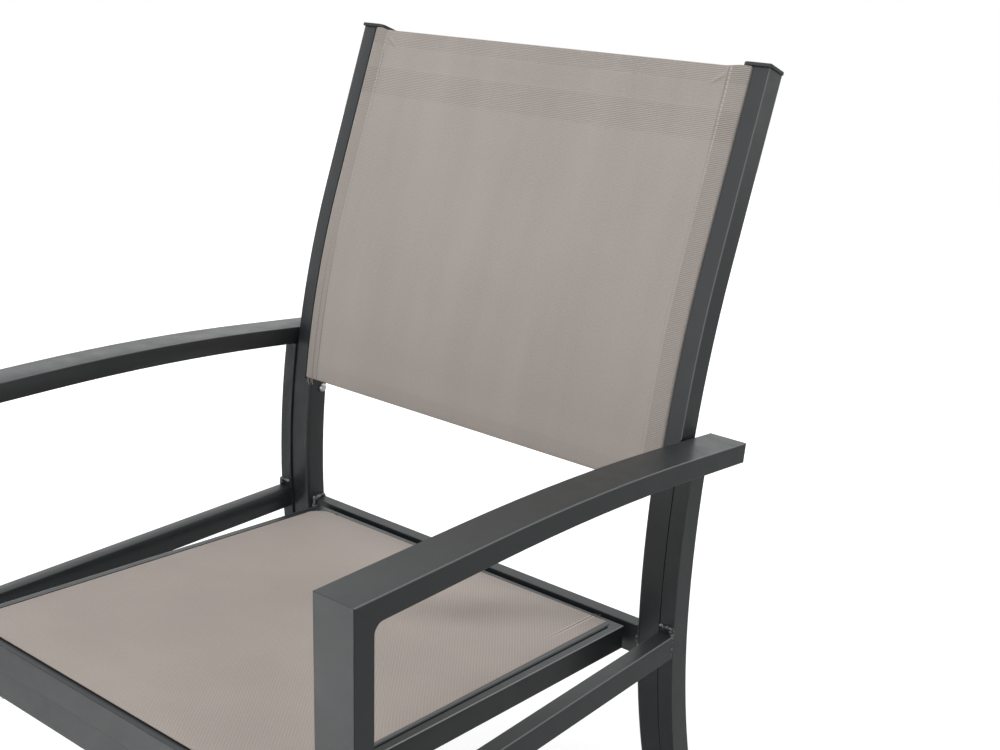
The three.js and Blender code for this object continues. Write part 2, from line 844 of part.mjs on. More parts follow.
function seatSling() {
  const halfLength = seatLength / 2;
  const cells = seatSlingCells;
  const reach = halfLength - seatSlingMargin;
  const sheet = new THREE.BoxGeometry(2 * seatEdgeHalf, 2 * reach, slingThickness, cells, cells, 1);
  const points = sheet.attributes.position;
  for (let i = 0; i < points.count; i += 1) {
    const openingX = seatHalf - seatTubeWidth;
    const openingY = halfLength - seatTubeWidth;
    const x = gridPlace(points.getX(i) / seatEdgeHalf, seatEdgeHalf, openingX);
    const y = gridPlace(points.getY(i) / reach, reach, openingY);
    const rise = contactGap + slingThickness / 2 - seatSag * bowl(x, openingX) * bowl(y, openingY);
    points.setXYZ(i, x, y - halfLength, points.getZ(i) + rise);
  }
  const hem = block(
    [seatEdgeHalf - slingThickness, seatEdgeMargin - seatLength, -seatTubeWall],
    [seatEdgeHalf, -seatEdgeMargin, contactGap + slingThickness / 2],
  );
  return join(sheet, bothSides(hem));
}

function seatSpline() {
  const rod = pin(seatSplineRadius, seatLength - 2 * seatEdgeMargin);
  const height = -seatTubeWall - contactGap - seatSplineRadius;
  return forwards(rod, seatSlotInner + seatSlotWidth / 2, -seatEdgeMargin, height);
}

// Materials and the assembly

const coated = { color: 0x45494c, roughness: 0.42, metalness: 0.25 };
const plastic = { color: 0x26282a, roughness: 0.5, metalness: 0 };
const rubber = { color: 0x1a1b1c, roughness: 0.8, metalness: 0 };
const mesh = { color: 0xa79f97, roughness: 0.85, metalness: 0 };
const steel = { color: 0xc4c6c8, roughness: 0.3, metalness: 1 };

function named(name, geometry, look) {
  const piece = new THREE.Mesh(geometry, new THREE.MeshStandardMaterial(look));
  piece.name = name;
  return piece;
}

function pair(name, geometry, look) {
  return [named(`${name}_left`, geometry, look), named(`${name}_right`, mirrored(geometry), look)];
}

const seat = new THREE.Group();
seat.rotation.x = -seatSlope;
seat.position.set(0, seatRearStep, seatRearTop);
seat.add(
  ...pair('seat_side_rail', seatSideRail(), coated),
  named('seat_rear_rail', seatRearRail(), coated),
  named('seat_front_rail', seatFrontRail(), coated),
  named('seat_sling', seatSling(), mesh),
  ...pair('seat_spline', seatSpline(), plastic),
  named('front_cross_rail', frontCrossRail(), coated),
  ...pair('front_cross_rail_plug', frontRailPlug(), plastic),
  ...pair('seat_front_bolt', seatFrontBolt(), steel),
  ...pair('seat_front_nut', seatFrontNut(), steel),
);

const frame = new THREE.Group();
frame.add(
  ...pair('back_post', backPost(), coated),
  ...pair('back_post_cap', postCap(), plastic),
  ...pair('back_post_foot', foot(postMember), rubber),
  ...pair('post_upper_screw', postScrew(upperScrewHeight), steel),
  ...pair('post_lower_screw', postScrew(lowerScrewHeight), steel),
  ...pair('post_upper_nut', postNut(upperScrewHeight), steel),
  ...pair('post_lower_nut', postNut(lowerScrewHeight), steel),
  named('back_spreader_bar', spreaderBar(), coated),
  ...pair('armrest', armrest(), coated),
  ...pair('armrest_end_cap', armrestEndCap(), plastic),
  ...pair('front_leg', frontLeg(), coated),
  ...pair('front_leg_foot', foot(frontLegMember), rubber),
  ...pair('rear_leg', rearLeg(), coated),
  ...pair('rear_leg_foot', foot(rearLegMember), rubber),
  ...pair('side_rail', sideRail(), coated),
  named('rear_cross_rail', rearCrossRail(), coated),
  ...pair('front_cross_rail_bolt', frontRailBolt(), steel),
  ...pair('seat_rear_bolt', seatRearBolt(), steel),
  ...pair('seat_rear_spacer', seatRearSpacer(), plastic),
  ...pair('seat_rear_nut', seatRearNut(), steel),
  named('back_sling', backSling(), mesh),
  ...pair('back_spline', backSpline(), plastic),
);

// The origin goes to the middle of the underside
const chair = new THREE.Group();
chair.add(frame, seat);
chair.updateMatrixWorld(true);
const extent = new THREE.Box3().setFromObject(chair, true);
const middle = extent.getCenter(new THREE.Vector3());
frame.position.set(-middle.x, -middle.y, -extent.min.z);
seat.position.sub(new THREE.Vector3(middle.x, middle.y, extent.min.z));

export default chair;
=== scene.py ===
# %% [markdown]
# # A sling patio chair
# This lesson dresses a metal patio chair with two mesh slings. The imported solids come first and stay
# where they are: they are the frame that everything else is fitted to, in metres, with +Z up, the sitter
# facing -Y and the sitter's left at +X. Each visible piece is then made again with the rounded edges,
# seams, weave and coating that a plain solid lacks.

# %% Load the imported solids
import math

import bpy
from mathutils import Matrix, Vector


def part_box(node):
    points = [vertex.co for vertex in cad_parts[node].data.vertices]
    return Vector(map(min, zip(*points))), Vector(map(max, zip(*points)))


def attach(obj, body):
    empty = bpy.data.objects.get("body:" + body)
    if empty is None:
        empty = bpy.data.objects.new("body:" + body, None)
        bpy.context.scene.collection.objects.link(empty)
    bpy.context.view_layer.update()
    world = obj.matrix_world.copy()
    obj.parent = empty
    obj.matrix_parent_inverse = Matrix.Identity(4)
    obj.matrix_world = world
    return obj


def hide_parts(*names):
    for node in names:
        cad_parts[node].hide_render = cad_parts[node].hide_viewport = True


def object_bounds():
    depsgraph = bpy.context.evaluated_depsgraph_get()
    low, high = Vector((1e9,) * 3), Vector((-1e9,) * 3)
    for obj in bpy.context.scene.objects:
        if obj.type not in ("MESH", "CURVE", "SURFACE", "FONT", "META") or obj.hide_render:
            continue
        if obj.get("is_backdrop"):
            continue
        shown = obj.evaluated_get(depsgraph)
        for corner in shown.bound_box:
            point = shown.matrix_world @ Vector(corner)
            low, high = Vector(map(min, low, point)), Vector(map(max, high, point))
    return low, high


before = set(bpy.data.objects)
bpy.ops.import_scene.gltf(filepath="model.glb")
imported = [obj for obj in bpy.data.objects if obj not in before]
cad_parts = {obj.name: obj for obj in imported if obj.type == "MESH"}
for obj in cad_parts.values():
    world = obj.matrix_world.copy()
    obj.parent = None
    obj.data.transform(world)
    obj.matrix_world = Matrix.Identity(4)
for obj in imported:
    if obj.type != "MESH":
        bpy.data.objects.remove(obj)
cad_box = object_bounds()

print(len(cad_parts), "solids,", [round(high - low, 4) for low, high in zip(*cad_box)], "m overall")

# %% [markdown]
# ## The camera
# The photograph looks down on the chair from in front and from the sitter's left, and its edges cut off
# the feet and the far armrest. The camera's place was worked out from the directions of the tubes, so
# the lens is fixed first and every piece can be compared with the photograph from the start.

# %% Camera
mm = 0.001
sensor_width = 36.0
eye_place = Vector((847.2, -855.2, 1044.8)) * mm
eye_right = Vector((0.77665, 0.62918, 0.03081))
eye_up = Vector((-0.22282, 0.22864, 0.94767))
focal_pixels = 1389.7
photo_width_pixels = 1000

bpy.ops.object.camera_add()
camera = bpy.context.object
camera.name = "camera"
camera.data.sensor_width = sensor_width
camera.data.lens = focal_pixels / photo_width_pixels * sensor_width
eye_back = eye_right.cross(eye_up).normalized()
eye_up = eye_back.cross(eye_right).normalized()
turn = Matrix((eye_right.normalized(), eye_up, eye_back)).transposed().to_4x4()
camera.matrix_world = Matrix.Translation(eye_place) @ turn
bpy.context.scene.camera = camera
print("lens", round(camera.data.lens, 2), "mm")

# %% [markdown]
# ## Working by hand, in code
# An operator acts on whatever is selected, so nothing may stay selected by accident. These helpers do
# what the hand does between two operators: deselect everything, go in and out of edit mode, and pick
# edges or corners by where they are.

# %% Selecting
def deselect_all():
    if bpy.context.object and bpy.context.object.mode != "OBJECT":
        bpy.ops.object.mode_set(mode="OBJECT")
    bpy.ops.object.select_all(action="DESELECT")


def take(*pieces):
    """Selects these pieces alone. The first one is active."""
    deselect_all()
    for piece in pieces:
        piece.select_set(True)
    bpy.context.view_layer.objects.active = pieces[0]


def edit(piece, kind="FACE", choose="DESELECT"):
    """Goes into edit mode with nothing selected, or with everything where choose is SELECT."""
    take(piece)
    bpy.ops.object.mode_set(mode="EDIT")
    bpy.ops.mesh.select_mode(type=kind)
    bpy.ops.mesh.select_all(action=choose)


def select_whole(kind):
    bpy.ops.mesh.select_mode(type=kind)
    bpy.ops.mesh.select_all(action="SELECT")


def leave_edit():
    bpy.ops.object.mode_set(mode="OBJECT")


def pick(piece, kind, wanted):
    """Selection flags can only be set outside edit mode, so this leaves it and comes back."""
    bpy.ops.mesh.select_all(action="DESELECT")
    leave_edit()
    for item in getattr(piece.data, kind):
        item.select = wanted(item)
    bpy.ops.object.mode_set(mode="EDIT")


def pick_corners(piece, wanted):
    pick(piece, "vertices", lambda corner: wanted(corner.co))


def pick_edges(piece, wanted):
    pick(piece, "edges", lambda edge: wanted(*(piece.data.vertices[i].co for i in edge.vertices)))


deselect_all()
print("nothing is selected:", not bpy.context.selected_objects)

# %% [markdown]
# A finished piece's object sits at the origin, unturned and unscaled, with its place in its mesh, so
# that patterns drawn on its own coordinates stay put. What is on the sitter's left is modelled once and
# mirrored, and a mirrored mesh is inside out until its faces are turned round.

# %% Naming, placing and copying
degree = math.pi / 180
merge_distance = 0.01 * mm


def call_it(name):
    """Names the piece that an operator has just made, and its mesh."""
    piece = bpy.context.object
    piece.name = name
    piece.data.name = name
    return piece


def apply_place():
    bpy.ops.object.transform_apply(location=True, rotation=True, scale=True)


def settle(piece, place=(0, 0, 0), turn=(0, 0, 0), scale=(1, 1, 1)):
    """Scales, turns and moves the piece, and leaves its object at the origin."""
    take(piece)
    piece.location = place
    piece.rotation_euler = turn
    piece.scale = scale
    apply_place()


def stand(piece, turn_about_x, place):
    settle(piece, place, (turn_about_x, 0, 0))


def face_outwards(piece):
    edit(piece, choose="SELECT")
    bpy.ops.mesh.normals_make_consistent(inside=False)
    leave_edit()


def copy_of(piece, name):
    take(piece)
    bpy.ops.object.duplicate(linked=False)
    return call_it(name)


def mirrored_copy(piece):
    copy = copy_of(piece, piece.name.replace("left", "right"))
    settle(copy, scale=(-1, 1, 1))
    face_outwards(copy)
    return copy


def joined(name, pieces):
    take(*pieces)
    bpy.ops.object.join()
    apply_place()
    return call_it(name)


def report(*pieces):
    for piece in pieces:
        low, high = (Vector(c) for c in (piece.bound_box[0], piece.bound_box[6]))
        print(piece.name, len(piece.data.polygons), "faces", [round(v / mm, 1) for v in (*low, *high)])


print("doubles closer than", merge_distance / mm, "mm are merged")

# %% [markdown]
# ## Tubes
# The frame is bent and welded aluminium tube. A tube is drawn the way it is made: its flat cross-section
# first, a rectangle with rounded corners, which is then pushed along the straights and spun round the
# centre of each bend. The alternative, a curve with a bevel, would round every corner of the section
# alike and turn the section over in the bends. The rounded corners matter most: each one catches a thin
# line of light, and without them the frame looks like folded paper.

# %% A tube's section
tube_rounding = 0.9 * mm
rounding_steps, soft_corner_steps = 3, 5


def tube_section(name, low, high, rounding=tube_rounding, softer=None):
    """A flat rectangle in x and y. softer is (corner, radius) where one corner is rounder."""
    deselect_all()
    bpy.ops.mesh.primitive_plane_add(size=1)
    piece = call_it(name)
    middle = ((low[0] + high[0]) / 2, (low[1] + high[1]) / 2, 0)
    settle(piece, middle, scale=(high[0] - low[0], high[1] - low[1], 1))
    edit(piece, "VERT", choose="SELECT")
    if softer:
        soft_place = Vector((*softer[0], 0))
        pick_corners(piece, lambda co: (co - soft_place).length > tube_rounding)
    bpy.ops.mesh.bevel(offset=rounding, segments=rounding_steps, affect="VERTICES")
    if softer:
        pick_corners(piece, lambda co: (co - soft_place).length < tube_rounding)
        bpy.ops.mesh.bevel(offset=softer[1], segments=soft_corner_steps, affect="VERTICES")
    leave_edit()
    return piece


print("tube corners are rounded by", tube_rounding / mm, "mm in", rounding_steps, "steps")

# %% [markdown]
# What happens to a section in the workshop has an operator each: extrude pushes it straight, spin bends
# it, bisect saws, a boolean mills a slot. Cut ends are closed again, so every tube stays a closed shell.

# %% Pushing, bending, sawing and milling
smooth_below = 35 * degree
flat_face_weight = 80


def push(direction, length):
    move = Vector(direction).normalized() * length
    bpy.ops.mesh.extrude_region_move(TRANSFORM_OT_translate={"value": move})


def spin_bend(centre, angle, steps):
    """Spin turns the other way round its axis than the right-hand rule says, hence the minus."""
    bpy.ops.mesh.spin(steps=steps, angle=-angle, center=centre, axis=(1, 0, 0))


def close_up(piece):
    """Merges doubles, turns every face outwards and goes back to object mode."""
    select_whole("FACE")
    bpy.ops.mesh.remove_doubles(threshold=merge_distance)
    bpy.ops.mesh.normals_make_consistent(inside=False)
    leave_edit()


def slice_off(piece, place, normal):
    """Saws the piece through and closes the cut. What the normal points to is thrown away."""
    edit(piece, choose="SELECT")
    bpy.ops.mesh.bisect(plane_co=place, plane_no=normal, clear_outer=True, use_fill=True)
    close_up(piece)


def apply_modifier(piece, kind, **settings):
    take(piece)
    modifier = piece.modifiers.new(kind.lower(), kind)
    for name, value in settings.items():
        setattr(modifier, name, value)
    bpy.ops.object.modifier_apply(modifier=modifier.name)


def cut_away(piece, *cutters):
    for cutter in cutters:
        apply_modifier(piece, "BOOLEAN", object=cutter, operation="DIFFERENCE", solver="EXACT")
        bpy.data.objects.remove(cutter)


def smooth(piece, below=smooth_below):
    """Rounded edges shade smoothly, and the flats between them stay flat."""
    take(piece)
    bpy.ops.object.shade_smooth_by_angle(angle=below)
    apply_modifier(piece, "WEIGHTED_NORMAL", keep_sharp=True, weight=flat_face_weight)


print("edges under", round(smooth_below / degree), "degrees are shaded smooth")

# %% [markdown]
# ## The line of the back posts
# Each back post leans back at the top, bends to the vertical just above the seat and sweeps back again
# to the floor. Its front edge is two straights joined by two arcs, and everything near it is measured
# from that line: the rear leg beside it, the sling in front of it and the cross rails behind it.

# %% Where the posts run
post_inner, post_outer = 224 * mm, 249 * mm
post_depth = 25 * mm
belly_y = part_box("back_post_left")[0].y
belly_height = 435 * mm
upper_radius, lower_radius = 915 * mm, 705 * mm
back_lean, leg_lean = 20.3 * degree, 17 * degree
back_straight, leg_straight = 178 * mm, 300 * mm
upper_arc, lower_arc = back_lean * upper_radius, leg_lean * lower_radius

upper_centre = Vector((0, belly_y + upper_radius, belly_height))
lower_centre = Vector((0, belly_y + lower_radius, belly_height))
back_down = Vector((0, -math.sin(back_lean), -math.cos(back_lean)))
back_inward = Vector((0, math.cos(back_lean), -math.sin(back_lean)))
post_top = upper_centre - upper_radius * back_inward - back_straight * back_down
leg_down = Vector((0, math.sin(leg_lean), -math.cos(leg_lean)))


def on_post(s, inset=0.0, x=0.0):
    """The point at distance s down the post's front line from its top, inset behind that line."""
    if s <= back_straight:
        return post_top + s * back_down + inset * back_inward + Vector((x, 0, 0))
    angle = back_lean - (s - back_straight) / upper_radius
    centre, radius = upper_centre, upper_radius
    if angle < 0:
        angle = -(s - back_straight - upper_arc) / lower_radius
        centre, radius = lower_centre, lower_radius
    inward = Vector((0, math.cos(angle), -math.sin(angle)))
    return centre - (radius - inset) * inward + Vector((x, 0, 0))


print("top of the front line", [round(v / mm, 1) for v in post_top])

# %% [markdown]
# A tube that follows this line starts as a section laid flat, at its own x and inset. It is stood up
# at the post's top, pushed down the straight, spun round both centres and pushed on past the floor,
# where the saw takes off what is too much.

# %% Sweeping down a post
past_floor_s = back_straight + upper_arc + lower_arc + leg_straight
bend_step, fewest_bend_steps = 1.5 * degree, 4


def sweep_down_post(piece, s_from, s_to):
    stand(piece, -back_lean, on_post(0) + s_from * back_down)
    edit(piece, choose="SELECT")
    push(back_down, back_straight - s_from)
    upper_turn = min(s_to - back_straight, upper_arc) / upper_radius
    spin_bend(upper_centre, upper_turn, max(fewest_bend_steps, round(upper_turn / bend_step)))
    if s_to > back_straight + upper_arc:
        spin_bend(lower_centre, leg_lean, round(leg_lean / bend_step))
        push(leg_down, s_to - back_straight - upper_arc - lower_arc)
    close_up(piece)


print("swept tubes are", round(past_floor_s / mm), "mm long before the saw")

# %% [markdown]
# ## Back posts
# A post is a 25 mm square extrusion. Its front corner on the sling's side is much rounder than the
# others, because the sling bends over it. Its foot end is sawn level, a hair above the foot.

# %% Back posts
sling_corner_radius = 4.4 * mm
foot_height = 6 * mm
cut_gap = 0.15 * mm
foot_seam = Vector((0, 0, foot_height + cut_gap))

post_left = tube_section(
    "back_post_shell_left",
    (post_inner, 0),
    (post_outer, post_depth),
    softer=((post_inner, 0), sling_corner_radius),
)
sweep_down_post(post_left, 0, past_floor_s)
slice_off(post_left, foot_seam, (0, 0, -1))
report(post_left)

# %% [markdown]
# A keyhole slot beside the round corner holds the sling's edge: a narrow mouth in the front face, and a
# round channel behind it for the spline. Both cutters are swept down the post's own line, so the slot
# keeps its depth through the bend, and they start above its top so that no skin is left there.

# %% Slots for the back sling
slot_low, slot_high, slot_rounding = 228.8 * mm, 232.2 * mm, 0.1 * mm
channel_inset, channel_radius, channel_sides = 6.2 * mm, 4.2 * mm, 20
slot_end = 394 * mm
overrun = 2 * mm

mouth = tube_section("cutter", (slot_low, -overrun), (slot_high, channel_inset), rounding=slot_rounding)
sweep_down_post(mouth, -overrun, slot_end)
deselect_all()
bpy.ops.mesh.primitive_circle_add(vertices=channel_sides, radius=channel_radius, fill_type="NGON")
channel = call_it("cutter")
settle(channel, ((slot_low + slot_high) / 2, channel_inset, 0))
sweep_down_post(channel, -overrun, slot_end)
cut_away(post_left, mouth, channel)
smooth(post_left)
report(post_left)

# %% [markdown]
# Rounded edges that face the light catch a thin bright line, and that highlight is painted into the coat
# as a lighter colour. On a post that is the outer front edge above the armrest and the inner front edge
# below the sling. The narrow faces of the rounding are marked, and the coat's finish reads the mark. A
# mark on the faces was chosen over a second material, because it blends and needs no seam.

# %% Painted edge highlights
widest_edge_face = 0.9 * mm
looks_towards = 0.75
above_armrest, below_sling = 600 * mm, 545 * mm


def paint_edge_highlights(piece, facing, amount, low=0.0, high=math.inf):
    """Marks the narrow faces that look one way, between two heights, for a painted highlight."""
    marks = piece.data.attributes
    painted_highlight = marks.get("painted_highlight") or marks.new("painted_highlight", "FLOAT", "FACE")
    facing = Vector(facing).normalized()
    corners = piece.data.vertices
    marked = 0
    for face in piece.data.polygons:
        spots = [corners[i].co for i in face.vertices]
        narrowest = min((a - b).length for a, b in zip(spots, spots[1:] + spots[:1]))
        is_edge_face = narrowest < widest_edge_face and face.normal.dot(facing) > looks_towards
        if is_edge_face and low < face.center.z < high:
            painted_highlight.data[face.index].value = amount
            marked += 1
    print(piece.name, marked, "narrow faces marked")


# Painted highlights on the post's outer front edge above the armrest and its inner front edge below the
# sling.
paint_edge_highlights(post_left, (1, -1, 0), 0.4, low=above_armrest)
paint_edge_highlights(post_left, (-1, -1, 0), 0.35, high=below_sling)
post_right = mirrored_copy(post_left)
report(post_left, post_right)

# %% [markdown]
# ## The line of the armrests
# An armrest is almost level in front and slopes down more steeply behind one long bend. The rear leg
# ends under it and the front leg is mitred to it, so its line is worked out before either is made.

# %% Where the armrests run
arm_inner, arm_outer = 252.2 * mm, 290.2 * mm
arm_thickness = 18.8 * mm
arm_front_slope, arm_bend = 0.95 * degree, 5.65 * degree
arm_rear_slope = arm_front_slope + arm_bend
arm_radius = 2700 * mm
arm_rear_length = 94 * mm
arm_front = Vector((0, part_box("front_leg_left")[0].y, 622 * mm))
arm_tail_y = belly_y + 60.1 * mm


def along_arm(slope):
    return Vector((0, math.cos(slope), -math.sin(slope)))


def up_from_arm(slope):
    return Vector((0, math.sin(slope), math.cos(slope)))


bend_reach = arm_radius * (math.sin(arm_rear_slope) - math.sin(arm_front_slope))
front_reach = arm_tail_y - arm_front.y - bend_reach - arm_rear_length * math.cos(arm_rear_slope)
arm_bend_start = arm_front + along_arm(arm_front_slope) * front_reach / math.cos(arm_front_slope)
arm_centre = arm_bend_start - arm_radius * up_from_arm(arm_front_slope)
arm_bend_end = arm_centre + arm_radius * up_from_arm(arm_rear_slope)
arm_under_rear = arm_bend_end - arm_thickness * up_from_arm(arm_rear_slope)
print("the armrests bend", round(front_reach / mm), "mm behind the front legs")

# %% [markdown]
# ## Rear legs
# Beside each post, with a hair of daylight between them, runs a narrower leg. It follows the post's
# bends round the same centres, so the same sweep makes it. Its top is sawn off at the slope of the
# armrest that rests on it.

# %% Rear legs
frame_inner = 250.3 * mm
rear_leg_width, rear_leg_depth, rear_leg_lead = 15.5 * mm, 25.5 * mm, 1.8 * mm
above_armrest_s = 170 * mm
rear_leg_low = (frame_inner, -rear_leg_lead)
rear_leg_high = (frame_inner + rear_leg_width, rear_leg_depth - rear_leg_lead)

rear_leg_left = tube_section("rear_leg_shell_left", rear_leg_low, rear_leg_high)
sweep_down_post(rear_leg_left, above_armrest_s, past_floor_s)
slice_off(rear_leg_left, foot_seam, (0, 0, -1))
under_gap = cut_gap * up_from_arm(arm_rear_slope)
slice_off(rear_leg_left, arm_under_rear - under_gap, up_from_arm(arm_rear_slope))
smooth(rear_leg_left)
rear_leg_right = mirrored_copy(rear_leg_left)
report(rear_leg_left, rear_leg_right)

# %% [markdown]
# ## Armrests and front legs
# Armrest and front leg are two tubes that are sawn to a mitre, welded and ground flush: the outer corner
# stays sharp and the inner one is rounded, both across the joint. Two separate sweeps would meet there
# only by chance. So the side view of both is drawn first as one flat face, by pushing edges, its two
# corners are rounded, the face is given its width, and only then is it sawn in two along the mitre.

# %% The side view of a leg and its armrest
leg_depth = 19.5 * mm
outer_corner_radius, inner_corner_radius = 0.5 * mm, 8 * mm
outer_corner_steps, inner_corner_steps, arm_bend_steps = 4, 8, 8
lid_room = 1.8 * mm
arm_tube_end = arm_rear_length - lid_room
slope_up = up_from_arm(arm_front_slope)
inner_corner = Vector((0, arm_front.y + leg_depth, 0))
over_corner_y = inner_corner.y + arm_thickness * slope_up.y
over_corner_z = arm_front.z - (over_corner_y - arm_front.y) * math.tan(arm_front_slope)
inner_corner.z = over_corner_z - arm_thickness * slope_up.z
near_enough = 0.1 * mm


def near(co, place):
    return math.hypot(co.y - place.y, co.z - place.z) < near_enough


def is_edge(a, b, first, second):
    return (near(a, first) and near(b, second)) or (near(a, second) and near(b, first))


def side_frame_face():
    """The side view of leg and armrest as one flat face at the frame's inner side."""
    deselect_all()
    bpy.ops.mesh.primitive_plane_add(size=1)
    piece = call_it("side_frame")
    middle = (arm_inner, arm_front.y + leg_depth / 2, (foot_seam.z + inner_corner.z) / 2)
    settle(piece, middle, (0, math.pi / 2, 0), (inner_corner.z - foot_seam.z, leg_depth, 1))
    edit(piece, "EDGE")
    leg_front_corner = Vector((0, arm_front.y, inner_corner.z))
    pick_edges(piece, lambda a, b: is_edge(a, b, leg_front_corner, inner_corner))
    push(slope_up, arm_thickness)
    shifted = leg_front_corner + arm_thickness * slope_up
    over_corner = inner_corner + arm_thickness * slope_up
    bpy.ops.mesh.select_mode(type="VERT")
    pick_corners(piece, lambda co: near(co, shifted))
    bpy.ops.transform.translate(value=Vector((0, arm_front.y, arm_front.z)) - shifted)
    bpy.ops.mesh.select_mode(type="EDGE")
    pick_edges(piece, lambda a, b: is_edge(a, b, over_corner, inner_corner))
    push(along_arm(arm_front_slope), (arm_bend_start - over_corner).length)
    spin_bend(arm_centre, -arm_bend, arm_bend_steps)
    push(along_arm(arm_rear_slope), arm_tube_end)
    select_whole("FACE")
    bpy.ops.mesh.remove_doubles(threshold=merge_distance)
    bpy.ops.mesh.dissolve_faces()
    bpy.ops.mesh.select_mode(type="VERT")
    pick_corners(piece, lambda co: near(co, arm_front))
    bpy.ops.mesh.bevel(offset=outer_corner_radius, segments=outer_corner_steps, affect="VERTICES")
    pick_corners(piece, lambda co: near(co, inner_corner))
    bpy.ops.mesh.bevel(offset=inner_corner_radius, segments=inner_corner_steps, affect="VERTICES")
    return piece


side_frame = side_frame_face()
print("the leg's inner corner is", round(inner_corner.z / mm, 1), "mm high")

# %% [markdown]
# The flat face is still open for editing. It is pushed to its width, and the edges that run along the
# tube are rounded on both sides. The edges across its two open ends stay sharp, as the saw leaves them.

# %% Width and rounding of the side frame
def is_tube_end(co):
    past_arm = (co - arm_bend_end).dot(along_arm(arm_rear_slope)) > arm_tube_end - near_enough
    return past_arm or co.z < foot_height + 2 * cut_gap


def runs_along_side(a, b):
    same_side = abs(a.x - b.x) < merge_distance
    return same_side and not (is_tube_end(a) and is_tube_end(b))


select_whole("FACE")
push((1, 0, 0), arm_outer - arm_inner)
bpy.ops.mesh.select_mode(type="EDGE")
pick_edges(side_frame, runs_along_side)
bpy.ops.mesh.bevel(offset=tube_rounding, segments=rounding_steps, affect="EDGES")
close_up(side_frame)
report(side_frame)

# %% [markdown]
# The armrest and the front leg are one bent outline so far. The saw cuts it in two along the mitre, and
# each half gets its own closed end, with a hair of a gap between them that shows as a fine seam.

# %% Saw the mitre
mitre_normal = Vector((0, arm_front.z - inner_corner.z, inner_corner.y - arm_front.y)).normalized()
mitre_seam = 0.04 * mm

armrest_left = copy_of(side_frame, "armrest_shell_left")
front_leg_left = copy_of(side_frame, "front_leg_shell_left")
bpy.data.objects.remove(side_frame)
slice_off(armrest_left, arm_front + mitre_seam * mitre_normal, -mitre_normal)
slice_off(front_leg_left, arm_front - mitre_seam * mitre_normal, mitre_normal)
for piece in (armrest_left, front_leg_left):
    smooth(piece)
# Painted highlight along the armrest's outer top edge.
paint_edge_highlights(armrest_left, (1, 0, 1), 0.4)
armrest_right = mirrored_copy(armrest_left)
front_leg_right = mirrored_copy(front_leg_left)
report(armrest_left, front_leg_left)

# %% [markdown]
# ## Straight rails
# The other members of the frame are straight rectangular tubes. Each starts as a cube at the tube's
# size, its four long edges are rounded, and it is turned and moved to its place. A side rail ends
# against the curved face of the rear leg, so its rear end is sawn to that slope.

# %% Side rails
along_x, along_y = 0, 1


def block(name, low, high):
    """A cube between two corners, to be shaped further."""
    deselect_all()
    bpy.ops.mesh.primitive_cube_add(size=1)
    piece = call_it(name)
    middle = [(a + b) / 2 for a, b in zip(low, high)]
    settle(piece, middle, scale=[b - a for a, b in zip(low, high)])
    return piece


def rail(name, size, long_axis, turn_about_x, place, rounding=tube_rounding):
    piece = block(name, [-side / 2 for side in size], [side / 2 for side in size])
    edit(piece, "EDGE")
    pick_edges(piece, lambda a, b: abs(a[long_axis] - b[long_axis]) > size[long_axis] / 2)
    bpy.ops.mesh.bevel(offset=rounding, segments=rounding_steps, affect="EDGES")
    close_up(piece)
    stand(piece, turn_about_x, place)
    return piece


side_rail_slope = 0.97 * degree
side_rail_height = 23.5 * mm
side_rail_top = 409.2 * mm
sawing_length = 20 * mm
rail_front_y = arm_front.y + leg_depth + cut_gap
rail_rear_y = belly_y - rear_leg_lead
rail_middle_y = (rail_front_y + rail_rear_y) / 2
rail_rise = (rail_rear_y - rail_middle_y) * math.tan(side_rail_slope)
rail_middle_z = side_rail_top + rail_rise - side_rail_height / 2 / math.cos(side_rail_slope)
side_rail_left = rail(
    "side_rail_shell_left",
    (rear_leg_width, rail_rear_y - rail_front_y + sawing_length, side_rail_height),
    along_y,
    -side_rail_slope,
    (frame_inner + rear_leg_width / 2, rail_middle_y, rail_middle_z),
)


def rear_leg_face(z):
    """Where the rear leg's curved front face is at a height, with the gap before it."""
    reach = lower_radius + rear_leg_lead + cut_gap
    return Vector((0, lower_centre.y - math.sqrt(reach**2 - (z - belly_height) ** 2), z))


rail_end_top = rear_leg_face(side_rail_top)
rail_end_low = rear_leg_face(side_rail_top - side_rail_height)
end_slope = (rail_end_low - rail_end_top).normalized()
slice_off(side_rail_left, rail_end_top, (0, -end_slope.z, end_slope.y))
slice_off(side_rail_left, (0, rail_front_y, 0), (0, -1, 0))
smooth(side_rail_left)
# Painted highlight along the side rail's outer top edge.
paint_edge_highlights(side_rail_left, (1, 0, 1), 0.5)
side_rail_right = mirrored_copy(side_rail_left)
report(side_rail_left)

# %% [markdown]
# Three flat rails run across: one behind the seat, one under its front, and one behind the back sling's
# upper part, which keeps the posts apart and shows as a darker band in the mesh. The front one is set
# square to the seat, which slopes down to the rear, so the seat's own axes are needed here first.

# %% Cross rails and the bar behind the back
cross_length = 2 * (post_inner - cut_gap)
cross_depth, cross_height, spreader_height = 14 * mm, 31 * mm, 30 * mm
rear_cross_behind, rear_cross_z = 17.1 * mm, 383.5 * mm
spreader_s, spreader_inset = 58 * mm, 17.5 * mm
seat_slope = 4.5 * degree
seat_place = Vector((0, belly_y + 2.8 * mm, 398 * mm))
front_cross_y, front_cross_z = -434.6 * mm, -39.8 * mm


def seat_point(x, y, z):
    """A place in the seat frame's own axes, from its rear top edge, as a place on the chair."""
    return seat_place + Matrix.Rotation(-seat_slope, 3, "X") @ Vector((x, y, z))


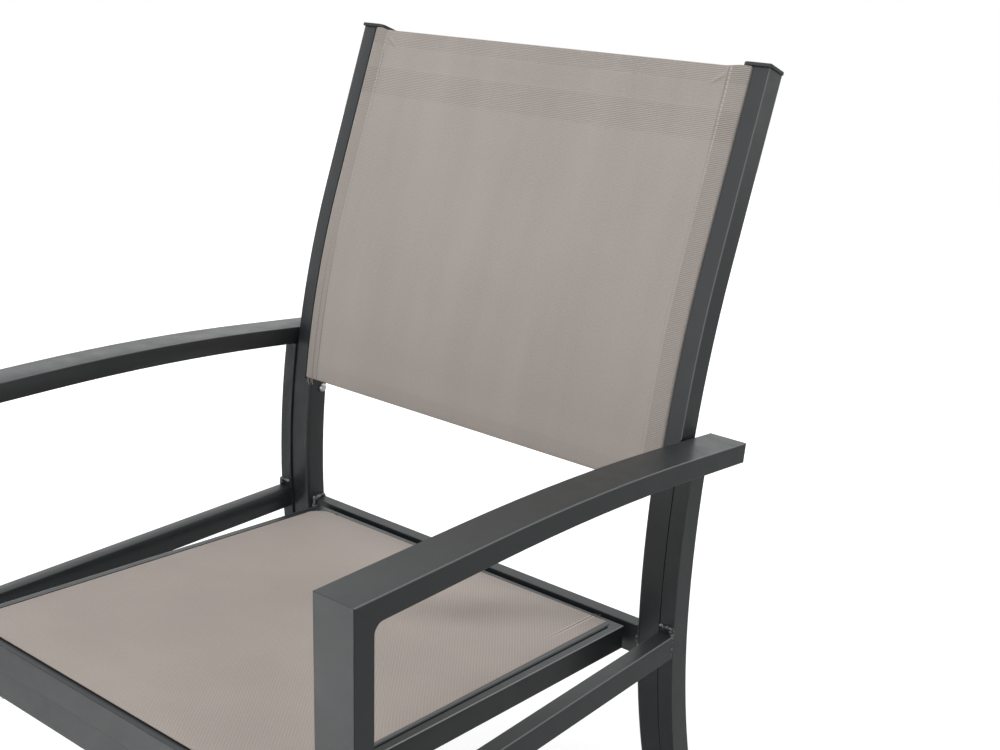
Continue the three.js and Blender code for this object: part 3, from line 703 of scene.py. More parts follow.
rear_cross_rail = rail(
    "rear_cross_rail_shell",
    (cross_length, cross_depth, cross_height),
    along_x,
    0,
    (0, belly_y + rear_cross_behind, rear_cross_z),
)
spreader_bar = rail(
    "back_spreader_shell",
    (cross_length, cross_depth, spreader_height),
    along_x,
    -back_lean,
    on_post(spreader_s, spreader_inset),
)
front_cross_rail = rail(
    "front_cross_rail_shell",
    (2 * (arm_inner - cut_gap), cross_depth, cross_height),
    along_x,
    -seat_slope,
    seat_point(0, front_cross_y, front_cross_z),
)
for piece in (rear_cross_rail, spreader_bar, front_cross_rail):
    smooth(piece)
report(rear_cross_rail, spreader_bar, front_cross_rail)

# %% [markdown]
# ## The seat frame
# Four tubes are mitred into a rectangle that slopes down to the rear. Its edges are a little sharper
# than those of the other tubes. The tubes are made flat, in the seat's own axes, sawn to their mitres,
# slotted, and tilted at the end, because a mitre is easiest to saw where it is square to the axes.

# %% Seat frame
seat_half, seat_length = 208.5 * mm, 447.1 * mm
seat_tube_width, seat_tube_height = 25 * mm, 24 * mm
seat_rounding = 0.8 * mm
saw_gap = 0.1 * mm


def flat_tube(name, low, high, long_axis):
    size = [b - a for a, b in zip(low, high)]
    middle = [(a + b) / 2 for a, b in zip(low, high)]
    return rail(name, size, long_axis, 0, middle, rounding=seat_rounding)


seat_side_left = flat_tube(
    "seat_side_rail_shell_left",
    (seat_half - seat_tube_width, -seat_length, -seat_tube_height),
    (seat_half, 0, 0),
    along_y,
)
slice_off(seat_side_left, (seat_half, -saw_gap, 0), Vector((-1, 1, 0)))
slice_off(seat_side_left, (seat_half, saw_gap - seat_length, 0), Vector((-1, -1, 0)))
seat_rear = flat_tube(
    "seat_rear_rail_shell",
    (-seat_half, -seat_tube_width, -seat_tube_height),
    (seat_half, 0, 0),
    along_x,
)
for side in (-1, 1):
    slice_off(seat_rear, (side * (seat_half - saw_gap), 0, 0), Vector((side, -1, 0)))
seat_front = copy_of(seat_rear, "seat_front_rail_shell")
settle(seat_front, (0, -seat_length, 0), (0, 0, math.pi))
print("the seat frame is", round(2 * seat_half / mm), "by", round(seat_length / mm, 1), "mm")

# %% [markdown]
# Each side tube has a long slot with round ends for the edge of the sling. Its cutter is the slot's
# outline, pushed up from below through the tube's top wall. Then the four tubes are tilted as one.

# %% Slots for the seat sling
seat_slot_low, seat_slot_high, seat_slot_margin = 197.5 * mm, 201 * mm, 14.8 * mm
seat_slot_rounding = 1.74 * mm
seat_slot_depth, seat_slot_overrun = 9 * mm, 3 * mm

seat_cutter = tube_section(
    "cutter",
    (seat_slot_low, seat_slot_margin - seat_length),
    (seat_slot_high, -seat_slot_margin),
    rounding=seat_slot_rounding,
)
stand(seat_cutter, 0, (0, 0, -seat_slot_depth))
edit(seat_cutter, choose="SELECT")
push((0, 0, 1), seat_slot_depth + seat_slot_overrun)
close_up(seat_cutter)
cut_away(seat_side_left, seat_cutter)
for piece in (seat_side_left, seat_rear, seat_front):
    stand(piece, -seat_slope, seat_place)
    smooth(piece)
# Painted highlight along the seat side rail's outer top edge.
paint_edge_highlights(seat_side_left, (1, 0, 1), 1)
seat_side_right = mirrored_copy(seat_side_left)
report(seat_side_left, seat_rear, seat_front)

# %% [markdown]
# ## Weld beads
# Where a rail meets a post or a leg the weld is left as it was laid: a lumpy bead under the coat. A row
# of drops of slightly different sizes is joined and remeshed into one skin, which gives the uneven
# ripples that a swept tube would not.

# %% A weld bead
swell, flatness, flatness_change = 0.35, 0.8, 0.15
bead_voxel = 0.45 * mm


def unevenness(index):
    """From -1 to 1, the same at each run, with no rhythm that the eye finds."""
    return (math.sin(index * 12.9) + math.sin(index * 5.3 + 1)) / 2


def weld_bead(name, path, radius):
    drops = []
    for index, place in enumerate(path):
        uneven = unevenness(index)
        deselect_all()
        bpy.ops.mesh.primitive_ico_sphere_add(
            subdivisions=2, radius=radius * (1 + swell * uneven), location=place
        )
        drop = bpy.context.object
        drop.scale = (1, 1, flatness + flatness_change * uneven)
        drops.append(drop)
    bead = joined(name, drops)
    apply_modifier(bead, "REMESH", mode="VOXEL", voxel_size=bead_voxel, use_smooth_shade=True)
    return bead


def path_through(corners, step):
    path = []
    for a, b in zip(corners, corners[1:]):
        count = max(1, round((b - a).length / step))
        path += [a.lerp(b, i / count) for i in range(count)]
    return [*path, corners[-1]]


print("the drops are", [round(1 + swell * unevenness(i), 2) for i in range(4)], "and so on")

# %% [markdown]
# Two beads show on each side: one round the end of the rear cross rail, which stands up over the rail,
# and one over the top of a side rail's rear end and down its outer face.

# %% Weld beads
cross_bead_radius, cross_drop_step = 3.4 * mm, 2.4 * mm
rail_bead_radius, rail_drop_step = 2.1 * mm, 2.6 * mm

cross_low, cross_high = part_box("rear_cross_rail")
bead_x, bead_foot_z = post_inner - 1.2 * mm, cross_low.z + 5 * mm
around_cross = [
    Vector((bead_x, cross_low.y, bead_foot_z)),
    Vector((bead_x, cross_low.y, cross_high.z + 1 * mm)),
    Vector((bead_x, cross_high.y - 1 * mm, cross_high.z + 1.5 * mm)),
    Vector((bead_x, cross_high.y, bead_foot_z)),
]
rail_low, rail_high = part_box("side_rail_left")
bead_y = rail_high.y - 2.2 * mm
over_rail = [
    Vector((rail_low.x + 2.5 * mm, bead_y, rail_high.z)),
    Vector((rail_high.x - 1.6 * mm, bead_y, rail_high.z)),
    Vector((rail_high.x - 1.2 * mm, bead_y, rail_low.z + 3 * mm)),
]
beads_left = [
    weld_bead("rear_cross_rail_weld_left", path_through(around_cross, cross_drop_step), cross_bead_radius),
    weld_bead("side_rail_weld_left", path_through(over_rail, rail_drop_step), rail_bead_radius),
]
beads_right = [mirrored_copy(bead) for bead in beads_left]
report(*beads_left)

# %% [markdown]
# ## Caps, feet and end plugs
# Every open tube end is closed with moulded plastic: a cap on each post that stands a little proud of
# the tube, a thin lid on each armrest and a rubber foot under each leg. A moulded part has softer edges
# than a sawn tube, so each one is bevelled all round. The post's cap has the post's own round corner.

# %% Caps and lids
moulded_steps = 3
cap_front, cap_inner, cap_low, cap_high = -2.3 * mm, 221 * mm, 0.05 * mm, 3.3 * mm
cap_rounding, cap_soft_corner, cap_top_softening = 1.2 * mm, 6 * mm, 0.9 * mm
lid_thickness, lid_inset, lid_softening = 1.7 * mm, 1.75 * mm, 0.5 * mm


def soften_edges(piece, softening, wanted=lambda a, b: True):
    edit(piece, "EDGE")
    pick_edges(piece, wanted)
    bpy.ops.mesh.bevel(offset=softening, segments=moulded_steps, affect="EDGES")
    close_up(piece)


post_cap_left = tube_section(
    "back_post_cap_shell_left",
    (cap_inner, cap_front),
    (frame_inner, post_depth),
    rounding=cap_rounding,
    softer=((cap_inner, cap_front), cap_soft_corner),
)
stand(post_cap_left, 0, (0, 0, cap_low))
edit(post_cap_left, choose="SELECT")
push((0, 0, 1), cap_high - cap_low)
close_up(post_cap_left)
soften_edges(post_cap_left, cap_top_softening, lambda a, b: min(a.z, b.z) > cap_high - near_enough)
stand(post_cap_left, -back_lean, post_top)

arm_lid_left = block(
    "armrest_lid_shell_left", (arm_inner, 0, -arm_thickness), (arm_outer, lid_thickness, 0)
)
soften_edges(arm_lid_left, lid_softening)
arm_end = arm_bend_end + (arm_rear_length - lid_inset) * along_arm(arm_rear_slope)
stand(arm_lid_left, -arm_rear_slope, arm_end)
report(post_cap_left, arm_lid_left)

# %% [markdown]
# The front legs stand upright and have a plain rubber block for a foot. Under the two leaning legs the
# foot carries the leg's section on down to the floor, so it is swept like the leg and sawn level twice.

# %% Feet
foot_softening = 1.2 * mm
moulded_smooth_below = 40 * degree

front_foot_left = block(
    "front_foot_shell_left",
    (arm_inner, arm_front.y, 0),
    (arm_outer, arm_front.y + leg_depth, foot_height),
)
soften_edges(front_foot_left, foot_softening)


def leg_foot(name, low, high):
    piece = tube_section(name, low, high)
    sweep_down_post(piece, above_armrest_s, past_floor_s)
    slice_off(piece, (0, 0, foot_height), (0, 0, 1))
    slice_off(piece, (0, 0, 0), (0, 0, -1))
    soften_edges(piece, foot_softening, lambda a, b: max(a.z, b.z) < merge_distance)
    return piece


post_foot_left = leg_foot("back_post_foot_shell_left", (post_inner, 0), (post_outer, post_depth))
rear_foot_left = leg_foot("rear_leg_foot_shell_left", rear_leg_low, rear_leg_high)
plastic_left = [post_cap_left, arm_lid_left]
rubber_left = [front_foot_left, post_foot_left, rear_foot_left]
for piece in (*plastic_left, *rubber_left):
    smooth(piece, moulded_smooth_below)
plastic_right = [mirrored_copy(piece) for piece in plastic_left]
rubber_right = [mirrored_copy(piece) for piece in rubber_left]
report(*rubber_left)

# %% [markdown]
# ## The slings
# A sling is one piece of coated mesh, stretched so tight that a cloth simulation would only give back
# what it was given. So it is drawn as a fine grid whose rows and columns follow the real cloth. The
# grid carries its own map in metres, so that the weave follows the cloth, and it gets its thickness last.

# %% Cloth from a grid
cloth_thickness = 0.9 * mm


def cloth(name, across, along, place):
    """across and along are distances on the cloth; place gives the point of each column and row."""
    columns, rows = len(across) - 1, len(along) - 1
    deselect_all()
    bpy.ops.mesh.primitive_grid_add(x_subdivisions=columns, y_subdivisions=rows, size=1)
    piece = call_it(name)
    spots = [
        (round((v.co.x + 0.5) * columns), round((v.co.y + 0.5) * rows)) for v in piece.data.vertices
    ]
    for corner, (i, j) in zip(piece.data.vertices, spots):
        corner.co = place(i, j)
    weave_map = piece.data.uv_layers.active or piece.data.uv_layers.new(name="weave")
    for loop in piece.data.loops:
        i, j = spots[loop.vertex_index]
        weave_map.data[loop.index].uv = (across[i], along[j])
    face_outwards(piece)
    apply_modifier(piece, "SOLIDIFY", thickness=cloth_thickness, offset=0)
    take(piece)
    bpy.ops.object.shade_smooth()
    return piece


def evenly(start, end, step):
    count = max(1, round(abs(end - start) / step))
    return [start + (end - start) * i / count for i in range(count + 1)]


def smoothstep(value, low, high):
    t = min(1, max(0, (value - low) / (high - low)))
    return t * t * (3 - 2 * t)


def both_halves(half):
    """Columns from the middle to the left edge, and their mirror image before them."""
    return [(-u, -x, dip) for u, x, dip in reversed(half[1:])] + half


print("the cloth is", cloth_thickness / mm, "mm thick")

# %% [markdown]
# ## The back sling
# Its top and bottom edges are turned over to the back and sewn as hems, and its sides dive into the
# posts' slots. The rows run up the hem behind, over the fold, down the front and up again behind; the
# columns run round the posts' soft corners. Rows and columns lie closer where the cloth turns and near
# the top, where the pull of the seams raises a crooked fold and a short crease at each corner.

# %% Rows and columns of the back sling
sling_top, sling_bottom = 1.5 * mm, 391.5 * mm
hem_depth, fold_start = 17.5 * mm, 1 * mm
hem_edge, low_hem_edge = sling_top + hem_depth, sling_bottom - hem_depth
side_bend = [
    # (distance on the cloth, x, how far behind the flat layer), past the flat part
    (227.5, 227.5, 0),
    (228.5, 228.45, 0.1),
    (229.2, 229.1, 0.55),
    (229.9, 229.5, 1.2),
    (231.1, 229.65, 2.4),
    (233.6, 229.7, 4.9),
]
flat_columns = [
    *evenly(0, 190 * mm, 5 * mm),
    *evenly(191.5 * mm, 219 * mm, 1.1 * mm),
    *evenly(221 * mm, 226 * mm, 2.5 * mm),
]
back_columns = both_halves(
    [(u, u, 0) for u in flat_columns] + [(a * mm, b * mm, c * mm) for a, b, c in side_bend]
)
front_rows = [
    *evenly(sling_top + fold_start, hem_edge + 5 * mm, 1 * mm),
    *evenly(hem_edge + 7 * mm, hem_edge + 70 * mm, 2.5 * mm),
    *evenly(hem_edge + 75 * mm, low_hem_edge - 7 * mm, 5 * mm),
    *evenly(low_hem_edge - 3 * mm, low_hem_edge + 2 * mm, 1 * mm),
    *evenly(low_hem_edge + 3 * mm, sling_bottom - fold_start, 3.5 * mm),
]
hem_rows = evenly(fold_start, hem_depth, 3.3 * mm)
fold_shares = [0.15, 0.5, 0.85]
back_rows = (
    [("behind_top", distance) for distance in reversed(hem_rows)]
    + [("fold_top", share) for share in fold_shares]
    + [("front", distance) for distance in front_rows]
    + [("fold_bottom", share) for share in fold_shares]
    + [("behind_bottom", distance) for distance in hem_rows]
)
print(len(back_columns), "columns and", len(back_rows), "rows")

# %% [markdown]
# The front layer stands higher where it lies on a second layer, in the hems and in the side pockets.
# The fold and the crease are ridges added to that. Each is a smooth bump across its own line, and it
# fades out down the seam, as the pull of the corner does.

# %% How far the back sling stands out
double_lift = 0.85 * mm
pocket_start = 213 * mm
ridge_half_width = 1.2 * mm
fold_x, fold_height, fold_sway, sway_length = 209.2 * mm, 1.2 * mm, 0.9 * mm, 7 * mm
fold_fades, fold_ends = 35 * mm, 85 * mm
crease_x, crease_length, crease_s, crease_drop = 207 * mm, 13 * mm, 10 * mm, 10 * mm
crease_height = 1 * mm


def doubled(s, x):
    """1 where the front layer lies on a second one, 0 where it is single, smooth in between."""
    from_end = min(s - sling_top, sling_bottom - s)
    in_hem = 1 - smoothstep(from_end, hem_depth - 3 * mm, hem_depth + 24 * mm)
    in_pocket = smoothstep(abs(x), pocket_start - 2.5 * mm, pocket_start + 0.5 * mm)
    return max(in_hem, in_pocket)


def ridge(distance):
    return math.exp(-((distance / ridge_half_width) ** 2))


def seam_folds(s, x):
    """How far the cloth stands up in the crooked fold beside the seam, and in the crease off it."""
    beside = abs(x)
    fold_edge_shadow = fold_x + fold_sway * math.sin(s / sway_length + (1 if x > 0 else 3))
    fold = fold_height * ridge(beside - fold_edge_shadow) * (1 - smoothstep(s, fold_fades, fold_ends))
    inwards = (crease_x - beside) / crease_length
    crease = crease_height * ridge(s - crease_s - crease_drop * inwards)
    return fold + crease * smoothstep(inwards, -0.1, 0.15) * (1 - smoothstep(inwards, 0.6, 1.05))


def front_inset(s, x):
    return -cloth_thickness - double_lift * doubled(s, x) - seam_folds(s, x)


print("the pocket stands out", [round(-front_inset(0.2, x * mm) / mm, 2) for x in (200, 225)], "mm")

# %% [markdown]
# Now every row and column finds its place. A row is a distance down the post and an inset behind its
# front line, so the sling bends with the posts by itself. The corners are drawn up to the caps.

# %% Back sling
corner_lift, lift_ends_x, edge_hang = 1.8 * mm, 222 * mm, 0.7 * mm
lift_starts_left, lift_starts_right = 203 * mm, 213 * mm
pocket_shift, shift_starts, shift_ends = 1.8 * mm, 205 * mm, 227 * mm


def back_sling_row(kind, amount, x):
    """(distance down the post, how far behind its front face) of a row of the cloth at x."""
    outer, inner = -cloth_thickness - double_lift, -cloth_thickness + 0.1 * mm
    if kind == "front":
        return amount, front_inset(amount, x)
    middle, radius = (outer + inner) / 2, (inner - outer) / 2
    at_top = kind.endswith("top")
    edge, way = (sling_top, 1) if at_top else (sling_bottom, -1)
    if kind.startswith("fold"):
        angle = math.pi * (1 - amount if at_top else amount)
        return edge + way * (fold_start - radius * math.sin(angle)), middle - radius * math.cos(angle)
    return edge + way * amount, inner


def pulled_up(s, x):
    """The top corners are drawn up to the caps, and the edge between them hangs a hair lower."""
    lift_starts = lift_starts_left if x > 0 else lift_starts_right
    lift = corner_lift * smoothstep(abs(x), lift_starts, lift_ends_x) - edge_hang
    return s - lift * (1 - smoothstep(s, 5 * mm, 45 * mm))


def back_sling_place(i, j):
    _, x, behind = back_columns[i]
    s, inset = back_sling_row(*back_rows[j], x)
    # On the left the thick pocket is seated against the slot's outer lip
    x += pocket_shift * smoothstep(x, shift_starts, shift_ends)
    return on_post(pulled_up(s, x), inset + behind, x)


row_spots = [on_post(*back_sling_row(*row, 0)) for row in back_rows]
back_along = [0]
for last, spot in zip(row_spots, row_spots[1:]):
    back_along.append(back_along[-1] + (spot - last).length)
back_sling = cloth("back_sling_cloth", [c[0] for c in back_columns], back_along, back_sling_place)
back_flat = (back_columns[-1][0] - back_columns[0][0], back_along[-1])
report(back_sling)
print("cut to", [round(v, 3) for v in back_flat])

# %% [markdown]
# ## The seat sling
# The seat's mesh is held the same way along its two sides, in the slots of the seat frame, and it hangs
# free between them at the front and the rear. The slots end short of the frame's corners, so the sling's
# corners lie loose on the rails; the right ones are rounded off more than the left ones. It sags a few
# millimetres in the middle under its own weight.

# %% Rows and columns of the seat sling
sling_rear, sling_front = -10.1 * mm, -440.1 * mm
seat_dive = [
    # (distance on the cloth, x, how far below the flat part)
    (194.6, 194.6, 0.0),
    (195.0, 195.0, 0.15),
    (195.3, 195.1, 0.5),
    (196.2, 196.0, 0.8),
    (197.4, 197.2, 0.85),
    (198.2, 197.9, 1.1),
    (199.2, 198.05, 2.0),
    (201.2, 198.1, 4.0),
]
flat_seat_columns = [*evenly(0, 180 * mm, 6 * mm), *evenly(183 * mm, 193 * mm, 2 * mm)]
seat_columns = both_halves(
    [(u, u, 0) for u in flat_seat_columns] + [(a * mm, b * mm, c * mm) for a, b, c in seat_dive]
)
seat_rows = [
    *evenly(sling_rear, sling_rear - 20 * mm, 1.5 * mm),
    *evenly(sling_rear - 26 * mm, sling_front + 26 * mm, 6 * mm),
    *evenly(sling_front + 20 * mm, sling_front, 1.5 * mm),
]
print(len(seat_columns), "columns and", len(seat_rows), "rows")

# %% [markdown]
# The sag is a bowl that ends at the tubes. On the left the edge is drawn in a little more towards the
# rear, so that the rail's lip shows beside it, and the whole rear edge runs slightly askew.

# %% Seat sling
seat_sag, lip_height = 5 * mm, 0.55 * mm
rear_skew, skew_starts = 0.0081, -200 * mm
far_corner_radius, near_corner_radius, corner_depth = 18 * mm, 4 * mm, 0.8 * mm
drawn_in_by, drawn_in_share = 2.2 * mm, 0.45
seat_half_width = seat_columns[-1][1]
seat_opening = seat_half - seat_tube_width


def seat_bowl(value, opening):
    return max(0, 1 - (value / opening) ** 2)


def seat_height(x, y):
    middle = (sling_rear + sling_front) / 2
    dip = seat_sag * seat_bowl(x, seat_opening) * seat_bowl(y - middle, seat_length / 2 - seat_tube_width)
    return cloth_thickness / 2 + 2 * lip_height - dip


def drawn_in(x, y):
    near_lip = smoothstep(x, 180 * mm, 190 * mm) * (1 - smoothstep(x, 195.5 * mm, 198 * mm))
    return drawn_in_by * (smoothstep(y, -330 * mm, -10 * mm) - drawn_in_share) * near_lip


def seat_sling_place(i, j):
    _, x, down = seat_columns[i]
    y = seat_rows[j]
    radius = near_corner_radius if x > 0 else far_corner_radius
    from_corner = radius - min(sling_rear - y, y - sling_front)
    if from_corner > 0 and abs(x) > seat_half_width - radius:
        share = (abs(x) - seat_half_width + radius) / radius
        x = math.copysign(seat_half_width - radius + share * math.sqrt(radius**2 - from_corner**2), x)
        down = min(down, corner_depth)
    y += rear_skew * x * smoothstep(y, skew_starts, sling_rear)
    return seat_point(x - drawn_in(x, y), y, seat_height(x, y) - down)


seat_sling = cloth("seat_sling_cloth", [c[0] for c in seat_columns], seat_rows, seat_sling_place)
seat_flat = (seat_columns[-1][0] - seat_columns[0][0], seat_rows[0] - seat_rows[-1])
report(seat_sling)
print("cut to", [round(v, 3) for v in seat_flat])

# %% [markdown]
# ## Loose yarn ends
# The mesh is cut, not woven to size, so at some corners the ends of its yarns stick out. Each is a fine
# wire through three points. A curve with a bevel draws it in one step, and it is made a mesh at once.

# %% Loose yarn ends
yarn_radius = 0.4 * mm


def yarn_ends(name, wires):
    made = []
    for points in wires:
        curve = bpy.data.curves.new(name, "CURVE")
        curve.dimensions = "3D"
        curve.bevel_depth = yarn_radius
        curve.bevel_resolution = 2
        curve.use_fill_caps = True
        wire = curve.splines.new("POLY")
        wire.points.add(len(points) - 1)
        for spot, place in zip(wire.points, points):
            spot.co = (*place, 1)
        piece = bpy.data.objects.new(name, curve)
        bpy.context.scene.collection.objects.link(piece)
        take(piece)
        bpy.ops.object.convert(target="MESH")
        made.append(bpy.context.object)
    piece = joined(name, made)
    bpy.ops.object.shade_smooth()
    return piece


def hanging_yarn(x, length, sway):
    start = on_post(sling_bottom - 2 * mm, -0.9 * mm, x)
    middle = on_post(sling_bottom + length * 0.5, -0.9 * mm, x + sway)
    return [start, middle, on_post(sling_bottom + length, -0.5 * mm, x - sway * 0.3)]


def lying_yarn(x, reach, drift):
    y = sling_rear + rear_skew * x
    return [
        seat_point(x, y - 3 * mm, 1.5 * mm),
        seat_point(x + drift * 0.4, y + reach * 0.5, 1.9 * mm),
        seat_point(x + drift, y + reach, 1.3 * mm),
    ]


back_yarn_ends = yarn_ends(
    "back_sling_yarn_ends",
    [
        hanging_yarn(-228.3 * mm, 6 * mm, 0.6 * mm),
        hanging_yarn(-225.5 * mm, 8 * mm, -0.7 * mm),
        hanging_yarn(-223.0 * mm, 5 * mm, 0.9 * mm),
        hanging_yarn(-220.0 * mm, 6.5 * mm, -0.5 * mm),
    ],
)
seat_yarn_ends = yarn_ends(
    "seat_sling_yarn_ends",
    [
        lying_yarn(-173 * mm, 5 * mm, 1.5 * mm),
        lying_yarn(-170 * mm, 3.5 * mm, -1 * mm),
        lying_yarn(175.6 * mm, 7 * mm, 1 * mm),
        lying_yarn(179.2 * mm, 8.5 * mm, 2 * mm),
    ],
)
report(back_yarn_ends, seat_yarn_ends)

# %% [markdown]
# ## Finishes
# The frame is powder-coated a dark grey: the coat is smooth enough to catch the light along its edges
# and has the fine orange-peel texture of baked powder. The texture is far smaller than a tube, so it
# is a bump and not a shape. The coats' patterns read the object's own coordinates, in metres, so that
# they stay in the surface whatever the view.

# %% Building blocks of a finish
def new_finish(name):
    finish = bpy.data.materials.new(name)
    finish.use_nodes = True
    return finish, finish.node_tree.nodes, finish.node_tree.links


def noise_in(nodes, links, coordinates, scale, detail=2.0, roughness=0.5):
    noise = nodes.new("ShaderNodeTexNoise")
    noise.inputs["Scale"].default_value = scale
    noise.inputs["Detail"].default_value = detail
    noise.inputs["Roughness"].default_value = roughness
    links.new(coordinates, noise.inputs["Vector"])
    return noise.outputs["Fac"]


def in_range(nodes, links, value, low, high, from_low=0.3, from_high=0.7):
    spread = nodes.new("ShaderNodeMapRange")
    spread.inputs["From Min"].default_value = from_low
    spread.inputs["From Max"].default_value = from_high
    spread.inputs["To Min"].default_value = low
    spread.inputs["To Max"].default_value = high
    links.new(value, spread.inputs["Value"])
    return spread.outputs["Result"]


def between(nodes, links, factor, first, second, start=0.0, end=1.0):
    ramp = nodes.new("ShaderNodeValToRGB")
    ramp.color_ramp.elements[0].position = start
    ramp.color_ramp.elements[1].position = end
    ramp.color_ramp.elements[0].color = (*first, 1)
    ramp.color_ramp.elements[1].color = (*second, 1)
    links.new(factor, ramp.inputs["Fac"])
    return ramp.outputs["Color"]


def laid_over(nodes, links, share, colour, below):
    """A plain colour over another one, as far as share says."""
    layers = nodes.new("ShaderNodeMixRGB")
    layers.inputs["Color2"].default_value = (*colour, 1)
    links.new(share, layers.inputs["Fac"])
    links.new(below, layers.inputs["Color1"])
    return layers.outputs["Color"]


def bumped(nodes, links, height, strength, distance):
    bump = nodes.new("ShaderNodeBump")
    bump.inputs["Strength"].default_value = strength
    bump.inputs["Distance"].default_value = distance
    links.new(height, bump.inputs["Height"])
    return bump.outputs["Normal"]


print("materials so far:", len(bpy.data.materials))

# %% [markdown]
# Four coats share one recipe: two close shades in soft patches, a lighter shade where the mark of the
# painted edge highlight is, a roughness that varies as if hands had been on it, and the peel. Plastic and
# rubber differ from the powder coat only in shade, roughness and grain. A weld's coat is broken up into
# small bright spots, partly bare metal and partly painted glints where its lumps catch the light.

# %% Powder coat, plastic and rubber
# The lighter colour on the marked edges is a painted highlight, for the light that the rounded edges
# catch.
edge_highlight_colour = (0.27, 0.28, 0.285)
soft_patches, bare_and_glint_weld_spots = (18, 0, 1), (330, 0.44, 0.62)
handling_scale, smoother_by, rougher_by = 45, 0.05, 0.06
peel_strength = 0.25


def coated_finish(name, dark, light, roughness, peel_scale, peel_height, patches=soft_patches):
    finish, nodes, links = new_finish(name)
    shader = nodes["Principled BSDF"]
    place = nodes.new("ShaderNodeTexCoord").outputs["Object"]
    patch_scale, start, end = patches
    patchy = noise_in(nodes, links, place, patch_scale, detail=3)
    coat = between(nodes, links, patchy, dark, light, start, end)
    # The mark on the edges lays the painted highlight colour over the coat.
    painted_highlight = nodes.new("ShaderNodeAttribute")
    painted_highlight.attribute_name = "painted_highlight"
    coat = laid_over(nodes, links, painted_highlight.outputs["Fac"], edge_highlight_colour, coat)
    links.new(coat, shader.inputs["Base Color"])
    handling = noise_in(nodes, links, place, handling_scale, detail=4, roughness=0.6)
    handled = in_range(nodes, links, handling, roughness - smoother_by, roughness + rougher_by)
    links.new(handled, shader.inputs["Roughness"])
    peel = noise_in(nodes, links, place, peel_scale)
    links.new(bumped(nodes, links, peel, peel_strength, peel_height), shader.inputs["Normal"])
    shader.inputs["Specular IOR Level"].default_value = 0.5
    return finish


powder_coat = coated_finish(
    "dark_powder_coat",
    dark=(0.0178, 0.0212, 0.0228),
    light=(0.0226, 0.0260, 0.0276),
    roughness=0.35,
    peel_scale=900,
    peel_height=0.06 * mm,
)
black_plastic = coated_finish(
    "moulded_black_plastic",
    dark=(0.012, 0.013, 0.014),
    light=(0.018, 0.019, 0.020),
    roughness=0.5,
    peel_scale=1600,
    peel_height=0.08 * mm,
)
# The light shade in the small spots is partly bare metal and partly painted glints, where the bead's lumps
# catch the light.
weld_coat = coated_finish(
    "weld_coat",
    dark=(0.014, 0.016, 0.017),
    light=(0.23, 0.24, 0.24),
    roughness=0.3,
    peel_scale=700,
    peel_height=0.3 * mm,
    patches=bare_and_glint_weld_spots,
)
foot_rubber = coated_finish(
    "moulded_rubber",
    dark=(0.014, 0.014, 0.014),
    light=(0.022, 0.022, 0.022),
    roughness=0.75,
    peel_scale=1300,
    peel_height=0.15 * mm,
)
print("made", powder_coat.name, weld_coat.name, black_plastic.name, foot_rubber.name)

# %% [markdown]
# Screws, bolts and nuts are zinc-plated: a metal with a faintly cloudy sheen.

# %% Zinc-plated steel
zinc_dark, zinc_light = (0.55, 0.56, 0.57), (0.72, 0.73, 0.74)
zinc_cloud_scale = 300

zinc_steel, nodes, links = new_finish("zinc_plated_steel")
shader = nodes["Principled BSDF"]
shader.inputs["Metallic"].default_value = 1.0
place = nodes.new("ShaderNodeTexCoord").outputs["Object"]
cloudy = noise_in(nodes, links, place, zinc_cloud_scale, detail=3)
links.new(between(nodes, links, cloudy, zinc_dark, zinc_light), shader.inputs["Base Color"])
links.new(in_range(nodes, links, cloudy, 0.25, 0.38), shader.inputs["Roughness"])
print("made", zinc_steel.name)

# %% [markdown]
# ## Sums with patterns
# The weave and the marks on it are sums of waves, steps and lines. Each step of such a sum is a Math
# node, and a long sum in nodes is hard to read. So a pattern is wrapped in a small class that turns
# plus, minus, times and divided by into nodes: the sums below then read like sums.

# %% A pattern that can be reckoned with
class Pattern:
    """A value that changes over a surface. Each sum that is written with it adds its Math nodes."""

    def __init__(self, nodes, links, socket):
        self.nodes, self.links, self.socket = nodes, links, socket

    def math(self, operation, *others):
        node = self.nodes.new("ShaderNodeMath")
        node.operation = operation
        for value, socket in zip((self, *others), node.inputs):
            if isinstance(value, Pattern):
                self.links.new(value.socket, socket)
            else:
                socket.default_value = value
        return Pattern(self.nodes, self.links, node.outputs["Value"])

    def __add__(self, other):
        return self.math("ADD", other)

    def __sub__(self, other):
        return self.math("SUBTRACT", other)

    def __mul__(self, other):
        return self.math("MULTIPLY", other)

    def __truediv__(self, other):
        return self.math("DIVIDE", other)

    def size(self):
        return self.math("ABSOLUTE")

    def wave(self, pitch):
        return (self * (2 * math.pi / pitch)).math("SINE")

    def rising(self, start, end):
        """0 up to start, 1 from end on, a straight climb between them."""
        share = (self - start) / (end - start)
        return share.math("MAXIMUM", 0).math("MINIMUM", 1)

    def line_at(self, place, half_width):
        return (self - place).size().rising(half_width, 0)

    def within(self, start, end, blend=1 * mm):
        return self.rising(start, start + blend) * self.rising(end, end - blend)


print("a pattern can be added, multiplied, waved and stepped")

# %% [markdown]
# ## Mesh fabric
# The slings are woven of plastic-coated yarn: thick ribs run across the chair, with thinner yarns
# between them. The weave is drawn on the cloth's own map, which is in metres, so it follows the hems and
# folds. Where the cloth is doubled, in the side pockets, in the hems and in front of the bar behind the
# back, no light comes through and the ribs show more. A row of stitches runs beside each pocket.

# %% Woven mesh
rib_pitch, rib_depth = 1.7 * mm, 0.05
yarn_pitch, yarn_depth = 1.25 * mm, 0.03
stitch_pitch = 4.2 * mm
middle_shade, slub_depth = 0.53, 0.26
streak_scale, cloud_scale, slub_scale = (20, 2.2, 1), (6, 8, 1), (330, 560, 1)
weave_strength, weave_height = 0.7, 0.3 * mm
thread_colour, lip_metal_colour = (0.60, 0.56, 0.51), (0.125, 0.13, 0.133)


